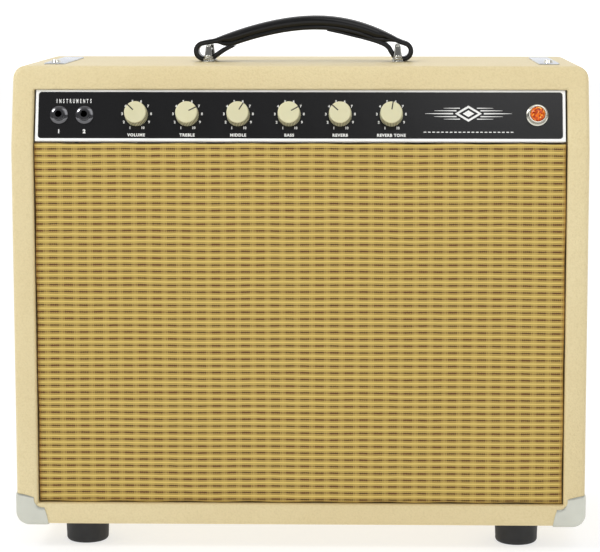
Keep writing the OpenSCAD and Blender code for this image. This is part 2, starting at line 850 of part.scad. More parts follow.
module tube_sockets() {
    color("saddlebrown") {
        valve_places() {
            translate([0, 0, chassis_z0 - 6]) cylinder(r = 17, h = 6, $fn = round_fn);
            translate([0, 0, chassis_z0]) cylinder(r = 13.5, h = 9, $fn = round_fn);
        }
        preamp_places() {
            translate([0, 0, chassis_z0 - 4]) cylinder(r = 12, h = 4, $fn = round_fn);
            translate([0, 0, chassis_z0]) cylinder(r = 9.5, h = 8, $fn = round_fn);
        }
    }
}

// A hollow glass envelope hanging from z = 0, with its closed end down
module envelope(r, h, wall = 0.9) {
    dome = r * 0.8;
    rotate_extrude($fn = round_fn) polygon(concat(
        [[r * 0.7, 0], [r * 0.82, 0]], [[r, -6]],
        arc(r - dome, -h + dome, dome, 0, -90, 6), [[0, -h], [0, -h + wall]],
        arc(r - dome, -h + dome, dome - wall, -90, 0, 6), [[r - wall, -6.4],
        [r * 0.82 - wall, -wall], [r * 0.7, -wall]]));
}

module power_tubes() {
    base_h = 24;
    seat = chassis_z0 - 6;
    valve_places() {
        color("black") translate([0, 0, seat - base_h])
            cylinder(r = 16, h = base_h, $fn = round_fn);
        color("lightblue") translate([0, 0, seat - base_h]) envelope(15.5, 58);
        color("gray") translate([0, 0, seat - base_h - 44]) difference() {
            translate([-9, -6, 0]) cube([18, 12, 44]);
            translate([-8.4, -5.4, -1]) cube([16.8, 10.8, 40]);
        }
    }
}

module preamp_tubes() {
    seat = chassis_z0 - 4;
    preamp_places() {
        color("lightblue") translate([0, 0, seat]) envelope(10.4, 50);
        color("gray") translate([0, 0, seat - 38]) cylinder(r = 5.5, h = 38, $fn = small_fn);
    }
}

// Screening cans over the first two valves of the preamp, open at the lower end
module tube_shields() {
    seat = chassis_z0 - 4;
    color("silver") for (x = [preamp_valve_x[2], preamp_valve_x[3]])
        translate([x, front_y + valve_y, seat - 44]) difference() {
            union() {
                ring(11.8, 11, 44);
                translate([0, 0, 1]) ring(12.3, 11, 1.6);
            }
            for (z = [10, 26]) translate([-20, -2, z]) cube([40, 4, 8]);
        }
}

// A laminated transformer under the chassis: core, winding and mounting bells
module transformer(x, y, w, d, h) {
    core = d * 0.42;
    translate([x, front_y + y, chassis_z0 - h]) {
        color("dimgray") translate([-w / 2, -core / 2, 0]) cube([w, core, h]);
        color("black") for (side = [-1, 1]) difference() {
            translate([-w / 2 + 3, side > 0 ? core / 2 : -d / 2, 4]) cube([w - 6,
                (d - core) / 2, h - 4]);
            translate([-w / 2 + 3, side * d / 2, 4]) rotate([45, 0, 0])
                translate([-1, -3, -3]) cube([w, 6, 6]);
        }
    }
}

module transformers() {
    transformer(198, 180, 92, 82, 76);
    transformer(-38, 200, 66, 56, 56);
    transformer(-150, 150, 44, 38, 36);
    color("silver") for (x = [power_valve_x[0], power_valve_x[1]])
        translate([x, front_y + cap_can_y, chassis_z0 - 64]) {
            cylinder(r = 15, h = 60, $fn = round_fn);
            translate([0, 0, 60]) cylinder(r = 17, h = 4, $fn = round_fn);
        }
}

module circuit_board() {
    board_z = chassis_z0 + sheet_t + 8;
    board_hx = 160;
    color("peru") difference() {
        translate([-board_hx, front_y + 70, board_z]) cube([2 * board_hx, 80, 2]);
        for (x = [6 - board_hx, board_hx - 6], s = [76, 144])
            translate([x, front_y + s, board_z - 1]) cylinder(r = 1.7, h = 4, $fn = small_fn);
    }
    color("silver") for (x = [6 - board_hx, board_hx - 6], s = [76, 144])
        translate([x, front_y + s, chassis_z0 + sheet_t]) cylinder(r = 3, h = 8, $fn = small_fn);
    // One row of coupling capacitors and one of resistors
    for (i = [0:11]) {
        color("gold") translate([-140 + i * 25, front_y + 82, board_z + 2 + 4])
            rotate([-90, 0, 0]) cylinder(r = 4.5, h = 24, $fn = small_fn);
        color("tan") translate([-140 + i * 25, front_y + 118, board_z + 2 + 1.8])
            rotate([-90, 0, 0]) cylinder(r = 2.2, h = 14, $fn = small_fn);
    }
}

// Stamped basket with eight arms
module speaker_basket() {
    color("dimgray") difference() {
        on_speaker() difference() {
            rotate_extrude($fn = round_fn) polygon([
                [139.2, 2.5], [rim_r, 2.5], [rim_r, 4.1], [141, 4.1], [138, 14], [84, 64],
                [84, basket_d], [26, basket_d], [26, basket_d - 1.6], [82.4, basket_d - 1.6],
                [82.4, 63.3], [136.2, 13.4]]);
            for (a = [0:45:315]) rotate([0, 0, a]) translate([0, 0, 8])
                linear_extrude(basket_d - 12) polygon([[94, -21], [129, -27], [129, 27], [94, 21]]);
        }
        speaker_bolt_places() cylinder(r = 2.5 + fit_gap, h = 10, $fn = small_fn);
    }
    // Paper gasket between the rim and the baffle
    color("black") difference() {
        on_speaker() ring(rim_r, baffle_hole_r + 0.5, 1.7);
        speaker_bolt_places() translate([0, 0, -1])
            cylinder(r = 2.5 + fit_gap, h = 5, $fn = small_fn);
    }
}

module speaker_magnet() {
    on_speaker() {
        color("silver") translate([0, 0, basket_d]) ring(62, coil_r + 1.3, top_plate_d);
        color("darkslategray") translate([0, 0, basket_d + top_plate_d])
            ring(magnet_r, 34, magnet_d);
        color("silver") translate([0, 0, basket_d + top_plate_d + magnet_d]) {
            cylinder(r = magnet_r - 4, h = back_plate_d, $fn = round_fn);
            translate([0, 0, -magnet_d - top_plate_d])
                cylinder(r = coil_r - 1.1, h = magnet_d + top_plate_d, $fn = round_fn);
        }
    }
}

// Depth of the paper cone at radius r, from its edge at r = 127 to its neck
function cone_depth(r) = 6 + 60 * pow((127 - r) / (127 - coil_r), 1.2);

// One outline: the paper's front, the dust cap's dome, the coil former and its
// winding, and the paper's back
module speaker_cone() {
    paper = 0.9;
    cap_r = 34;
    former_in = coil_r - 0.6;
    rings = [127, 115, 102, 88, 74, 60, 46, cap_r];
    neck = cone_depth(coil_r);
    cap_z = cone_depth(cap_r) + 28;
    on_speaker() color("#3a332c") rotate_extrude($fn = round_fn) polygon(concat(
        [for (r = rings) [r, cone_depth(r)]],
        arc(0, cap_z, 44, -42, -90, 6),
        arc(0, cap_z, 43.2, -90, -43, 6),
        [[former_in, neck - 1.5], [former_in, neck + 21], [coil_r, neck + 21],
        [coil_r + 0.8, neck + 20], [coil_r + 0.8, neck + 10], [coil_r, neck + 9.5],
        [coil_r, neck + paper]],
        [for (i = [len(rings) - 1:-1:0]) [rings[i], cone_depth(rings[i]) + paper]]));
}

// The rolled edge and the corrugated spider, which flex as the cone moves
module speaker_suspension() {
    skin = 0.8;
    roll = [[153, 1.7], [138, 1.7], [135.5, 0.5], [133, 3.6], [130.5, 1.8], [127, 5.1]];
    waves = [for (i = [0:12]) [coil_r + i * (82.4 - coil_r) / 12, spider_d + (i % 2) * 1.6]];
    color("#222222") difference() {
        on_speaker() rotate_extrude($fn = round_fn) polygon(concat(
            roll, [for (i = [5:-1:0]) [roll[i][0], roll[i][1] + skin]]));
        speaker_bolt_places() cylinder(r = 2.5 + fit_gap, h = 10, $fn = small_fn);
    }
    color("#c8a860") on_speaker() rotate_extrude($fn = round_fn) polygon(concat(
        waves, [for (i = [12:-1:0]) [waves[i][0], waves[i][1] + skin]]));
}

module speaker_bolts() {
    color("silver") speaker_bolt_places() {
        translate([0, 0, -baffle_t + 0.2]) cylinder(r = 4.9, h = 2.9, $fn = small_fn);
        translate([0, 0, -baffle_t + 3.1]) cylinder(r = 2.5, h = baffle_t + 8, $fn = small_fn);
        translate([0, 0, 4.1]) hex_nut(4, 2.5, 4);
    }
}

// Steel pan, open side down, with its transducers, springs and rubber mounts
module reverb_tank() {
    y0 = front_y + pan_y0;
    z0 = floor_z + grommet_h;
    color("gainsboro") difference() {
        translate([-pan_x, y0, z0]) cube([2 * pan_x, pan_w, pan_h]);
        translate([pan_t - pan_x, y0 + pan_t, z0 - 1])
            cube([2 * (pan_x - pan_t), pan_w - 2 * pan_t, pan_h - pan_t + 1]);
        for (s = [38, 54]) translate([-pan_x - 1, front_y + pan_y0 + s, z0 + 15])
            rotate([0, 90, 0]) cylinder(r = 4, h = 5, $fn = small_fn);
    }
    color("black") for (x = [8 - pan_x, pan_x - 20], y = [y0 + 8, y0 + pan_w - 20])
        translate([x, y, floor_z]) cube([12, 12, pan_h - 8]);
    color("silver") {
        for (side = [-1, 1]) translate([side * 170 - 12, y0 + 30, z0 + 6])
            cube([24, 50, pan_h - 6 - pan_t]);
        for (k = [0, 1, 2]) translate([-158, y0 + 40 + k * 15, z0 + 13]) rotate([0, 90, 0])
            cylinder(r = 2.2, h = 316, $fn = small_fn);
        for (s = [38, 54]) translate([-pan_x - 8, y0 + s, z0 + 15]) rotate([0, 90, 0])
            ring(3.95, 1.6, 20, small_fn);
    }
}

function unit(v) = v / norm(v);

// Tangent of a route at point i
function heading(route, i) =
    unit(route[min(i + 1, len(route) - 1)] - route[max(i - 1, 0)]);

// Sweeps a round section along a route, as one closed polyhedron
module sweep(route, r, sides = 8) {
    n = len(route);
    rings = [for (i = [0:n - 1])
        let (t = heading(route, i),
            u = unit(cross(t, [1, 0.13, 0])),
            v = cross(t, u))
        for (k = [0:sides - 1]) let (a = k * 360 / sides)
            route[i] + r * (cos(a) * u + sin(a) * v)];
    walls = [for (i = [0:n - 2], k = [0:sides - 1]) let (q = (k + 1) % sides)
        [(i + 1) * sides + k, (i + 1) * sides + q, i * sides + q, i * sides + k]];
    caps = [[for (k = [0:sides - 1]) k], [for (k = [sides - 1:-1:0]) (n - 1) * sides + k]];
    polyhedron(rings, concat(walls, caps), convexity = 4);
}

module internal_cables() {
    color("black") {
        sweep(speaker_lead, 2.4);
        sweep(reverb_lead, 2.2);
    }
    // Terminal strip lying on one of the basket's arms
    color("peru") on_speaker() rotate([0, 0, 247.5]) translate([111, 0, 39])
        rotate([0, 42.8, 0]) translate([-6, -12, 0.1]) cube([12, 24, 5]);
}

side_board(-1);  // side_board_left
side_board(1);  // side_board_right
top_board();
bottom_board();
baffle_board();
panel_cleats();
grille_cloth();
rear_panel(rear_upper_z0, rear_upper_z1);  // rear_panel_upper
rear_panel(floor_z + 1, rear_lower_z1);  // rear_panel_lower
corner_caps();
cabinet_screws();
feet();
foot_screws();
handle_strap();
handle_rivets();
handle_brackets();
chassis_straps();
chassis_bolts();
chassis();
panel_surround();
control_plate();
rear_plate();
knob(0);  // knob_volume
knob(1);  // knob_treble
knob(2);  // knob_middle
knob(3);  // knob_bass
knob(4);  // knob_reverb
knob(5);  // knob_tone
pot_shaft(0);  // shaft_volume
pot_shaft(1);  // shaft_treble
pot_shaft(2);  // shaft_middle
pot_shaft(3);  // shaft_bass
pot_shaft(4);  // shaft_reverb
pot_shaft(5);  // shaft_tone
pot_bodies();
panel_nuts();
input_jacks();
output_jacks();
pilot_bezel();
pilot_jewel();
pilot_lamp();
switch_lever(power_x);  // power_switch_lever
switch_lever(standby_x);  // standby_switch_lever
switch_bodies();
fuse_holder();
fuse_cap();
mains_inlet();
tube_sockets();
power_tubes();
preamp_tubes();
tube_shields();
transformers();
circuit_board();
speaker_basket();
speaker_magnet();
speaker_cone();
speaker_suspension();
speaker_bolts();
reverb_tank();
internal_cables();
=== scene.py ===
from math import atan2, cos, hypot, pi, radians, sin, tan

import bpy
from mathutils import Matrix, Vector


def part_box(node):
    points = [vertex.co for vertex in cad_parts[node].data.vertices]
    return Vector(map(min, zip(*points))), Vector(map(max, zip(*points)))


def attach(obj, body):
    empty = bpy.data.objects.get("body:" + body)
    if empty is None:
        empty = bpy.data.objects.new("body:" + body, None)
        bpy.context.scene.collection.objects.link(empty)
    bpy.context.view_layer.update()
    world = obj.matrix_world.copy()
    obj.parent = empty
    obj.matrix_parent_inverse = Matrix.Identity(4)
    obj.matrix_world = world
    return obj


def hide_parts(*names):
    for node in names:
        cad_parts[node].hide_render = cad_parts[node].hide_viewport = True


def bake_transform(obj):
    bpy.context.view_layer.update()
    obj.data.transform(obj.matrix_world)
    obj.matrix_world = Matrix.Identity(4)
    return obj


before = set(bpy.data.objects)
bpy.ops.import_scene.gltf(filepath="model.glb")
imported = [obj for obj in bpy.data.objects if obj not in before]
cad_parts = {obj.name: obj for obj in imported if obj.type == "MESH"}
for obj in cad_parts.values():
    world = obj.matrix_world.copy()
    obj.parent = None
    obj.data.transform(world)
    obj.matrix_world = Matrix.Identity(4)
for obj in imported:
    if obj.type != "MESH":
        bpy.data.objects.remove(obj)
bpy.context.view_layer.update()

MM = 0.001
SLANT = radians(16)

# ---- key sizes, from the CAD model
side_low, side_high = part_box("side_board_left")
LEFT, FRONT, BASE = side_low
BACK, TOP = side_high.y, side_high.z
RIGHT = -LEFT
BOARD = side_high.x - side_low.x
FLOOR_Z = BASE + BOARD
BREAK_Z = BASE + 372 * MM
MID_Y = (FRONT + BACK) / 2
OUTER_R = 12 * MM


# ---- camera, first of all
def make_camera():
    data = bpy.data.cameras.new("camera")
    cam = bpy.data.objects.new("camera", data)
    bpy.context.scene.collection.objects.link(cam)
    cam.location = (0.0738, -2.2522, 0.5714)
    look_down, look_left = 0.1232, 0.0209
    cam.rotation_euler = (pi / 2 - look_down, 0, look_left)
    data.sensor_width = 36
    data.lens = 132.6
    data.shift_x = -0.05
    data.shift_y = -0.06
    data.clip_end = 50
    bpy.context.scene.camera = cam


make_camera()


# ---- mesh helpers
def build(name, verts, faces, mats, ids=None, *, slot, sharp=40, body="cabinet", replaces=()):
    """A smooth mesh that rides on a body, or on none."""
    me = bpy.data.meshes.new(name)
    me.from_pydata([tuple(v) for v in verts], [], faces)
    for m in mats:
        me.materials.append(m)
    if ids:
        me.polygons.foreach_set("material_index", ids)
    me.shade_smooth()
    me.validate()
    me.update()
    me.set_sharp_from_angle(angle=radians(sharp))
    ob = bpy.data.objects.new(name, me)
    bpy.context.scene.collection.objects.link(ob)
    if body:
        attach(ob, body)
    if replaces:
        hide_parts(*replaces)
    return ob


class Soup:
    """Collects vertices, faces and a material number for each face."""

    def __init__(self):
        self.v, self.f, self.m = [], [], []

    def add(self, verts, faces, mat=0, at=Matrix()):
        n = len(self.v)
        self.v += [at @ Vector(p) for p in verts]
        self.f += [tuple(i + n for i in f) for f in faces]
        self.m += mat if isinstance(mat, list) else [mat] * len(faces)

    def turn(self, profile, segs, mat, at):
        """Adds a profile given in millimetres, turned about Z."""
        self.add(*lathe(mm(profile), segs), mat, at)

    def make(self, name, mats, **kw):
        return build(name, self.v, self.f, mats, self.m, **kw)


def moved(x, y, z):
    return Matrix.Translation((x, y, z))


def strip_faces(rows, cols, wrap_rows=False, wrap_cols=False):
    """Quads of a grid whose vertex (r, c) has index r * cols + c."""
    out = []
    for r in range(rows if wrap_rows else rows - 1):
        for c in range(cols if wrap_cols else cols - 1):
            a, b = r * cols, ((r + 1) % rows) * cols
            d = (c + 1) % cols
            out.append((a + c, a + d, b + d, b + c))
    return out


def tube_faces(rows, cols):
    """Faces of a closed tube, with a flat end on each side."""
    ends = [tuple(reversed(range(cols))), tuple(range((rows - 1) * cols, rows * cols))]
    return strip_faces(rows, cols, wrap_cols=True) + ends


def flipped(faces):
    return [tuple(reversed(f)) for f in faces]


def lathe(profile, segs=48):
    """A profile of (radius, height) turned about +Z. A radius of 0 closes it on the axis."""
    verts, faces, rings = [], [], []
    for r, z in profile:
        if r < 1e-9:
            rings.append([len(verts)])
            verts.append((0, 0, z))
        else:
            rings.append(list(range(len(verts), len(verts) + segs)))
            verts += [(r * cos(2 * pi * k / segs),
                       r * sin(2 * pi * k / segs), z) for k in range(segs)]
    for a, b in zip(rings, rings[1:]):
        for k in range(segs):
            q = (k + 1) % segs
            if len(a) == 1:
                faces.append((a[0], b[q], b[k]))
            elif len(b) == 1:
                faces.append((a[k], a[q], b[0]))
            else:
                faces.append((a[k], a[q], b[q], b[k]))
    return verts, faces


def fillet(cx, cz, r, a0, a1, n=5):
    turn = [radians(a0 + (a1 - a0) * i / n) for i in range(n + 1)]
    return [(cx + r * cos(a), cz + r * sin(a)) for a in turn]


def mm(points):
    return [tuple(c * MM for c in p) for p in points]


def slab(low, high, r):
    """A board with rounded edges and corners."""
    cuts = [0.0] + [1 - cos(pi / 2 * i / 3) for i in (1, 2, 3)]
    verts, faces, index = [], [], {}
    low, high = Vector(low), Vector(high)
    vals = [[low[k] + r * c for c in cuts] + [high[k] - r * c for c in reversed(cuts)]
            for k in range(3)]
    n = len(vals[0])

    def vertex(*key):
        """The grid point, pushed onto the rounded surface."""
        if key not in index:
            p = Vector([vals[a][key[a]] for a in range(3)])
            core = Vector([min(max(p[a], low[a] + r), high[a] - r) for a in range(3)])
            index[key] = len(verts)
            verts.append(core + (p - core).normalized() * r)
        return index[key]

    for a in range(3):
        b, c = (a + 1) % 3, (a + 2) % 3
        for side in (0, n - 1):
            for j in range(n - 1):
                for k in range(n - 1):
                    quad = []
                    for dj, dk in ((0, 0), (1, 0), (1, 1), (0, 1)):
                        key = [0, 0, 0]
                        key[a], key[b], key[c] = side, j + dj, k + dk
                        quad.append(vertex(*key))
                    if side == 0:
                        quad.reverse()
                    if len(set(quad)) == 4:
                        faces.append(tuple(quad))
    return verts, faces


def sweep(path, section):
    """Sweeps a closed section of (side, normal) points along a path, with side along Y."""
    verts, up = [], Vector((0, 1, 0))
    for i, p in enumerate(path):
        t = (path[min(i + 1, len(path) - 1)] - path[max(i - 1, 0)]).normalized()
        side = (up - t * up.dot(t)).normalized()
        pts = section(i / (len(path) - 1))
        verts += [p + side * a + side.cross(t) * b for a, b in pts]
    return verts, tube_faces(len(path), len(pts))


def capsule_section(w, h, r):
    """A rounded rectangle of half sizes w and h."""
    out = []
    for sx, sy, a in ((1, 1, 0), (-1, 1, 90), (-1, -1, 180), (1, -1, 270)):
        out += fillet(sx * (w - r), sy * (h - r), r, a, a + 90, 3)
    return out


# ---- material helpers
class Mat:
    """A principled material with a few node shortcuts."""

    def __init__(self, name, color=(0.8, 0.8, 0.8), rough=0.5, metal=0.0, **sockets):
        self.m = bpy.data.materials.new(name)
        self.m.use_nodes = True
        self.nt = self.m.node_tree
        self.bsdf = self.nt.nodes["Principled BSDF"]
        self.set("Base Color", (*color, 1))
        self.set("Roughness", rough)
        self.set("Metallic", metal)
        for k, v in sockets.items():
            self.set(k.replace("_", " "), v)
        self.obj = self.node("TexCoord").outputs["Object"]

    def set(self, socket, value):
        self.feed(self.bsdf.inputs[socket], value)

    def node(self, kind, inputs=(), **props):
        n = self.nt.nodes.new("ShaderNode" + kind)
        for k, v in props.items():
            setattr(n, k, v)
        for k, v in dict(inputs).items():
            self.feed(n.inputs[k], v)
        return n

    def feed(self, socket, value):
        if hasattr(value, "is_output"):
            self.nt.links.new(value, socket)
        else:
            socket.default_value = value

    def math(self, op, *values, clamp=False):
        return self.node("Math", enumerate(values), operation=op, use_clamp=clamp).outputs[0]

    def add(self, a, b):
        return self.math("ADD", a, b)

    def sub(self, a, b):
        return self.math("SUBTRACT", a, b)

    def mul(self, a, b):
        return self.math("MULTIPLY", a, b)

    def line(self, value, slope, start):
        """value * slope + start, kept between 0 and 1."""
        return self.math("MULTIPLY_ADD", value, slope, start, clamp=True)

    def scaled(self, xyz):
        return self.node("Mapping", {"Vector": self.obj, "Scale": xyz}).outputs[0]

    def noise(self, scale, detail=3.0, rough=0.5, vector=None, distort=0.0, out="Fac"):
        vector = self.obj if vector is None else vector
        return self.node("TexNoise", {"Vector": vector, "Scale": scale, "Detail": detail,
                                      "Roughness": rough, "Distortion": distort}).outputs[out]

    def voronoi(self, scale, feature="F1", vector=None, out="Distance"):
        vector = self.obj if vector is None else vector
        return self.node("TexVoronoi", {"Vector": vector, "Scale": scale},
                         feature=feature).outputs[out]

    def ramp(self, fac, stops):
        n = self.node("ValToRGB", {0: fac})
        e = n.color_ramp.elements
        while len(e) < len(stops):
            e.new(0.5)
        for el, (pos, col) in zip(e, stops):
            el.position = pos
            el.color = (*col, 1) if hasattr(col, "__len__") else (col, col, col, 1)
        return n.outputs[0]

    def mix(self, fac, a, b):
        a, b = [c if hasattr(c, "is_output") else (*c, 1) for c in (a, b)]
        return self.node("Mix", {0: fac, 6: a, 7: b}, data_type="RGBA").outputs[2]

    def bump(self, height, strength, distance):
        self.set("Normal", self.node("Bump", {"Strength": strength, "Distance": distance,
                                              "Height": height}).outputs[0])

    def worn(self, color, amount, scale, rough, spread):
        """Slow variation of colour and roughness, so that no surface is flat."""
        dark = tuple(c * (1 - amount) for c in color)
        light = tuple(min(1, c * (1 + amount)) for c in color)
        self.set("Base Color", self.ramp(self.noise(scale, 4), [(0.3, dark), (0.7, light)]))
        self.set("Roughness", self.ramp(self.noise(scale * 3.1, 3), [
            (0.25, max(0, rough - spread)), (0.75, min(1, rough + spread))]))


def srgb(r, g, b):
    return tuple((c / 255 / 12.92) if c <= 10 else ((c / 255 + 0.055) / 1.055) ** 2.4
                 for c in (r, g, b))


def vinyl():
    """Cream covering with a fine pebbled grain."""
    m = Mat("vinyl_cream", rough=0.45, Specular_IOR_Level=0.5)
    base = srgb(228, 212, 166)
    shade = srgb(220, 201, 152)
    valley_shade = srgb(186, 166, 112)
    warp = m.node("Mix", {0: 0.0022, 4: m.obj, 5: m.noise(330, 2, out="Color")},
                  data_type="VECTOR")
    pebble = m.voronoi(620, "SMOOTH_F1", vector=warp.outputs[1])
    large = m.voronoi(300, "SMOOTH_F1", vector=warp.outputs[1])
    fine = m.noise(1700, 4, 0.6)
    shaded_valleys = m.ramp(pebble, [(0.3, 0.0), (0.75, 1.0)])
    slow = m.noise(4.5, 3)
    tint = m.noise(70, 4, 0.7)
    color = m.mix(m.ramp(slow, [(0.35, 0.0), (0.7, 0.8)]), base, shade)
    color = m.mix(m.ramp(tint, [(0.45, 0.0), (0.75, 0.35)]), color, shade)
    # painted shade: the valleys of the pebble grain are darkened towards a deeper tan
    color = m.mix(m.mul(shaded_valleys, 0.2), color, valley_shade)
    m.set("Base Color", color)
    m.set("Roughness", m.ramp(fine, [(0.3, 0.34), (0.7, 0.5)]))
    height = m.add(m.add(m.mul(pebble, 0.8), m.mul(large, 0.6)), m.mul(fine, 0.22))
    m.bump(m.sub(1.0, height), 0.55, 0.0007)
    return m.m


def timber(name, light, dark, axis):
    """Bare wood with long grain along one axis."""
    light, dark = srgb(*light), srgb(*dark)
    m = Mat(name)
    stretch = {"x": (4, 60, 60), "z": (60, 60, 4)}[axis]
    grain = m.noise(1.0, 6, 0.65, vector=m.scaled(stretch), distort=1.2)
    pores = m.noise(1.0, 2, 0.5, vector=m.scaled(tuple(c * 9 for c in stretch)))
    color = m.ramp(grain, [(0.3, dark), (0.5, light), (0.72, tuple(c * 0.86 for c in light))])
    color = m.mix(m.ramp(pores, [(0.58, 0.0), (0.72, 0.4)]), color, tuple(c * 0.6 for c in dark))
    m.set("Base Color", color)
    m.set("Roughness", m.ramp(pores, [(0.3, 0.52), (0.7, 0.74)]))
    m.bump(m.add(grain, m.mul(pores, 0.4)), 0.25, 0.0004)
    return m.m


def metal(name, color, rough, brushed=None):
    m = Mat(name, metal=1.0)
    m.worn(srgb(*color), 0.06, 30, rough, min(0.06, rough * 0.4))
    if brushed:
        m.bump(m.noise(1.0, 3, 0.6, vector=m.scaled(brushed)), 0.12, 0.0001)
    else:
        m.bump(m.noise(900, 3, 0.6), 0.03, 0.0001)
    return m.m


def plastic(name, color, rough, grain=0.05, scale=1400, amount=0.06, **kw):
    m = Mat(name, **kw)
    m.worn(srgb(*color), amount, 40, rough, 0.06)
    m.bump(m.noise(scale, 3, 0.6), grain, 0.0002)
    return m.m


def leather():
    m = Mat("leather_black", rough=0.45, Specular_IOR_Level=0.12, Coat_Weight=0.42,
            Coat_Roughness=0.06)
    cells = m.voronoi(850, "DISTANCE_TO_EDGE")
    fine = m.noise(1900, 3, 0.6)
    creases = m.ramp(cells, [(0.0, 0.0), (0.25, 1.0)])
    slow = m.noise(22, 3)
    m.set("Base Color", m.ramp(slow, [(0.35, srgb(7, 7, 8)), (0.7, srgb(14, 14, 15))]))
    m.set("Roughness", m.ramp(slow, [(0.3, 0.34), (0.7, 0.46)]))
    m.bump(m.add(creases, m.mul(fine, 0.5)), 0.25, 0.0003)
    return m.m


def lacquer(name, color, rough):
    """Smooth glossy lacquer with only a trace of orange peel."""
    m = Mat(name, rough=rough, Specular_IOR_Level=0.45)
    color = srgb(*color)
    tint = m.noise(3.5, 2)
    m.set("Base Color", m.ramp(tint, [(0.3, color), (0.7, tuple(c * 1.12 for c in color))]))
    m.set("Roughness", m.ramp(m.noise(2400, 2), [(0.3, rough - 0.02), (0.7, rough + 0.02)]))
    m.bump(m.noise(420, 2, 0.4), 0.03, 0.0001)
    return m.m


ROW = 6.66 * MM                           # from one dark row to the next
COL = 14.4 * MM                           # from one dash to the next
KNOT_PITCH, THREAD_PITCH = 1.9 * MM, 1.1 * MM
CLOTH_LOW, CLOTH_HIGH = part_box("grille_cloth")
ROW_0 = CLOTH_HIGH.z - 4.7 * MM - 80 * ROW
COL_0 = CLOTH_LOW.x + 10.1 * MM - 40 * COL


def cloth():
    """Gold cloth with rows of dark dashes, lined up in columns, and thin lines between rows."""
    m = Mat("grille_weave", rough=0.74, Specular_IOR_Level=0.25, Sheen_Weight=0.1)
    x, _, z = m.node("SeparateXYZ", {0: m.obj}).outputs

    def centred(value, amount):
        return m.mul(m.sub(value, 0.5), amount)

    def band(value, middle, half, soft):
        """1 within half of middle, fading out over soft."""
        off = m.math("ABSOLUTE", m.sub(value, middle))
        return m.line(m.sub(half, off), 1 / soft, 0.5)

    zz = m.add(z, centred(m.noise(7, 2), 0.0022))
    zz = m.add(zz, centred(m.noise(60, 2), 0.0007))
    xx = m.add(x, centred(m.noise(9, 2), 0.0018))
    row = m.math("DIVIDE", m.sub(zz, ROW_0), ROW)
    col = m.math("DIVIDE", m.sub(xx, COL_0), COL)
    cell = m.node("CombineXYZ", {0: m.math("FLOOR", col), 1: m.math("FLOOR", m.add(row, 0.5))})
    chance = m.node("TexWhiteNoise", {"Vector": cell.outputs[0]},
                    noise_dimensions="2D").outputs["Value"]
    row, col = m.math("FRACT", row), m.math("FRACT", col)
    # distances, in pitches, from the dark row and from the gap between two dashes
    from_dark = m.sub(0.5, m.math("ABSOLUTE", m.sub(row, 0.5)))
    from_gap = m.sub(0.5, m.math("ABSOLUTE", m.sub(col, 0.5)))
    speckle = m.noise(1.0, 3, 0.7, vector=m.scaled((900, 900, 1500)))
    streak = m.noise(1.0, 3, 0.6, vector=m.scaled((35, 200, 900)))
    knots = m.math("SINE", m.mul(xx, 2 * pi / KNOT_PITCH))

    dash = m.line(m.sub(from_gap, 0.195), 24.0, 0.5)
    dash = m.math("MAXIMUM", dash, m.mul(band(from_gap, 0.105, 0.03, 0.04), 0.55))
    width = m.add(0.095, centred(speckle, 0.15))
    width = m.add(width, m.mul(knots, 0.022))
    width = m.add(width, m.mul(chance, 0.03))
    dark = m.line(m.sub(width, from_dark), 11.0, 0.5)
    dark = m.mul(dark, m.line(dash, 0.5, 0.5))
    bright = band(from_dark, 0.5, 0.09, 0.05)
    hair = m.math("MAXIMUM", band(row, 0.32, 0.035, 0.05), band(row, 0.71, 0.05, 0.06))
    hair = m.mul(hair, m.line(dash, 0.62, 0.16))
    shade = m.mul(band(from_dark, 0.14, 0.05, 0.1), dash)

    gold = m.mix(streak, srgb(182, 154, 82), srgb(208, 181, 104))
    gold = m.mix(m.mul(speckle, 0.45), gold, srgb(196, 167, 84))
    color = m.mix(m.mul(shade, 0.4), gold, srgb(160, 116, 66))
    color = m.mix(m.mul(hair, 0.8), color, srgb(118, 94, 34))
    color = m.mix(m.mul(bright, 0.9), color, srgb(222, 197, 112))
    brown = m.mix(streak, srgb(46, 29, 8), srgb(84, 58, 18))
    brown = m.mix(m.mul(chance, 0.4), brown, srgb(110, 56, 34))
    color = m.mix(m.mul(dark, 0.96), color, brown)
    visible = 253.5 * MM                  # half the width that shows in the frame
    # painted shadow: past that half width the cloth is darkened towards reddish brown, where it
    # turns under at the sides
    edge = m.line(m.sub(m.math("ABSOLUTE", x), visible), 220.0, 0.0)
    color = m.mix(m.mul(edge, 0.35), color, srgb(150, 84, 26))
    m.set("Base Color", color)
    thread = m.math("SINE", m.mul(z, 2 * pi / THREAD_PITCH))
    height = m.add(m.mul(thread, 0.25), m.mul(speckle, 0.7))
    height = m.sub(height, m.mul(dark, 0.5))
    m.bump(height, 0.5, 0.0003)
    return m.m


VINYL = vinyl()
PINE = timber("pine_bare", (214, 178, 126), (176, 134, 84), "x")
PLY = timber("ply_bare", (196, 160, 112), (150, 112, 70), "z")
CLOTH = cloth()
NICKEL = metal("nickel_bright", (214, 212, 200), 0.16)
CAP_NICKEL = metal("nickel_satin", (203, 204, 193), 0.36)
POST = metal("nickel_worn", (176, 175, 168), 0.1)
NUT_DARK = metal("chrome_black_satin", (106, 106, 108), 0.12)
CHROME_DARK = metal("chrome_black_mirror", (112, 112, 114), 0.14)
ZINC = metal("zinc_plate", (190, 192, 196), 0.32)
STEEL = metal("steel_turned", (186, 186, 188), 0.25, (40, 2200, 40))
ALU = metal("aluminium_sheet", (196, 198, 200), 0.34, (12, 900, 900))
CAN = metal("plated_can", (176, 174, 168), 0.36)
RUBBER = plastic("rubber_black", (30, 30, 31), 0.6, 0.2, 900, 0.12)
LEATHER = leather()
THREAD = plastic("waxed_thread", (58, 56, 58), 0.6, 0.3, 2600)
WHITE = plastic("white_satin", (251, 252, 250), 0.4, 0.03, 1400, 0.02)
PLATE = lacquer("black_gloss_plate", (15, 15, 16), 0.24)
STRAP = metal("bright_zinc", (206, 211, 220), 0.3)
PRINT = plastic("white_print", (240, 240, 236), 0.5, 0.02)
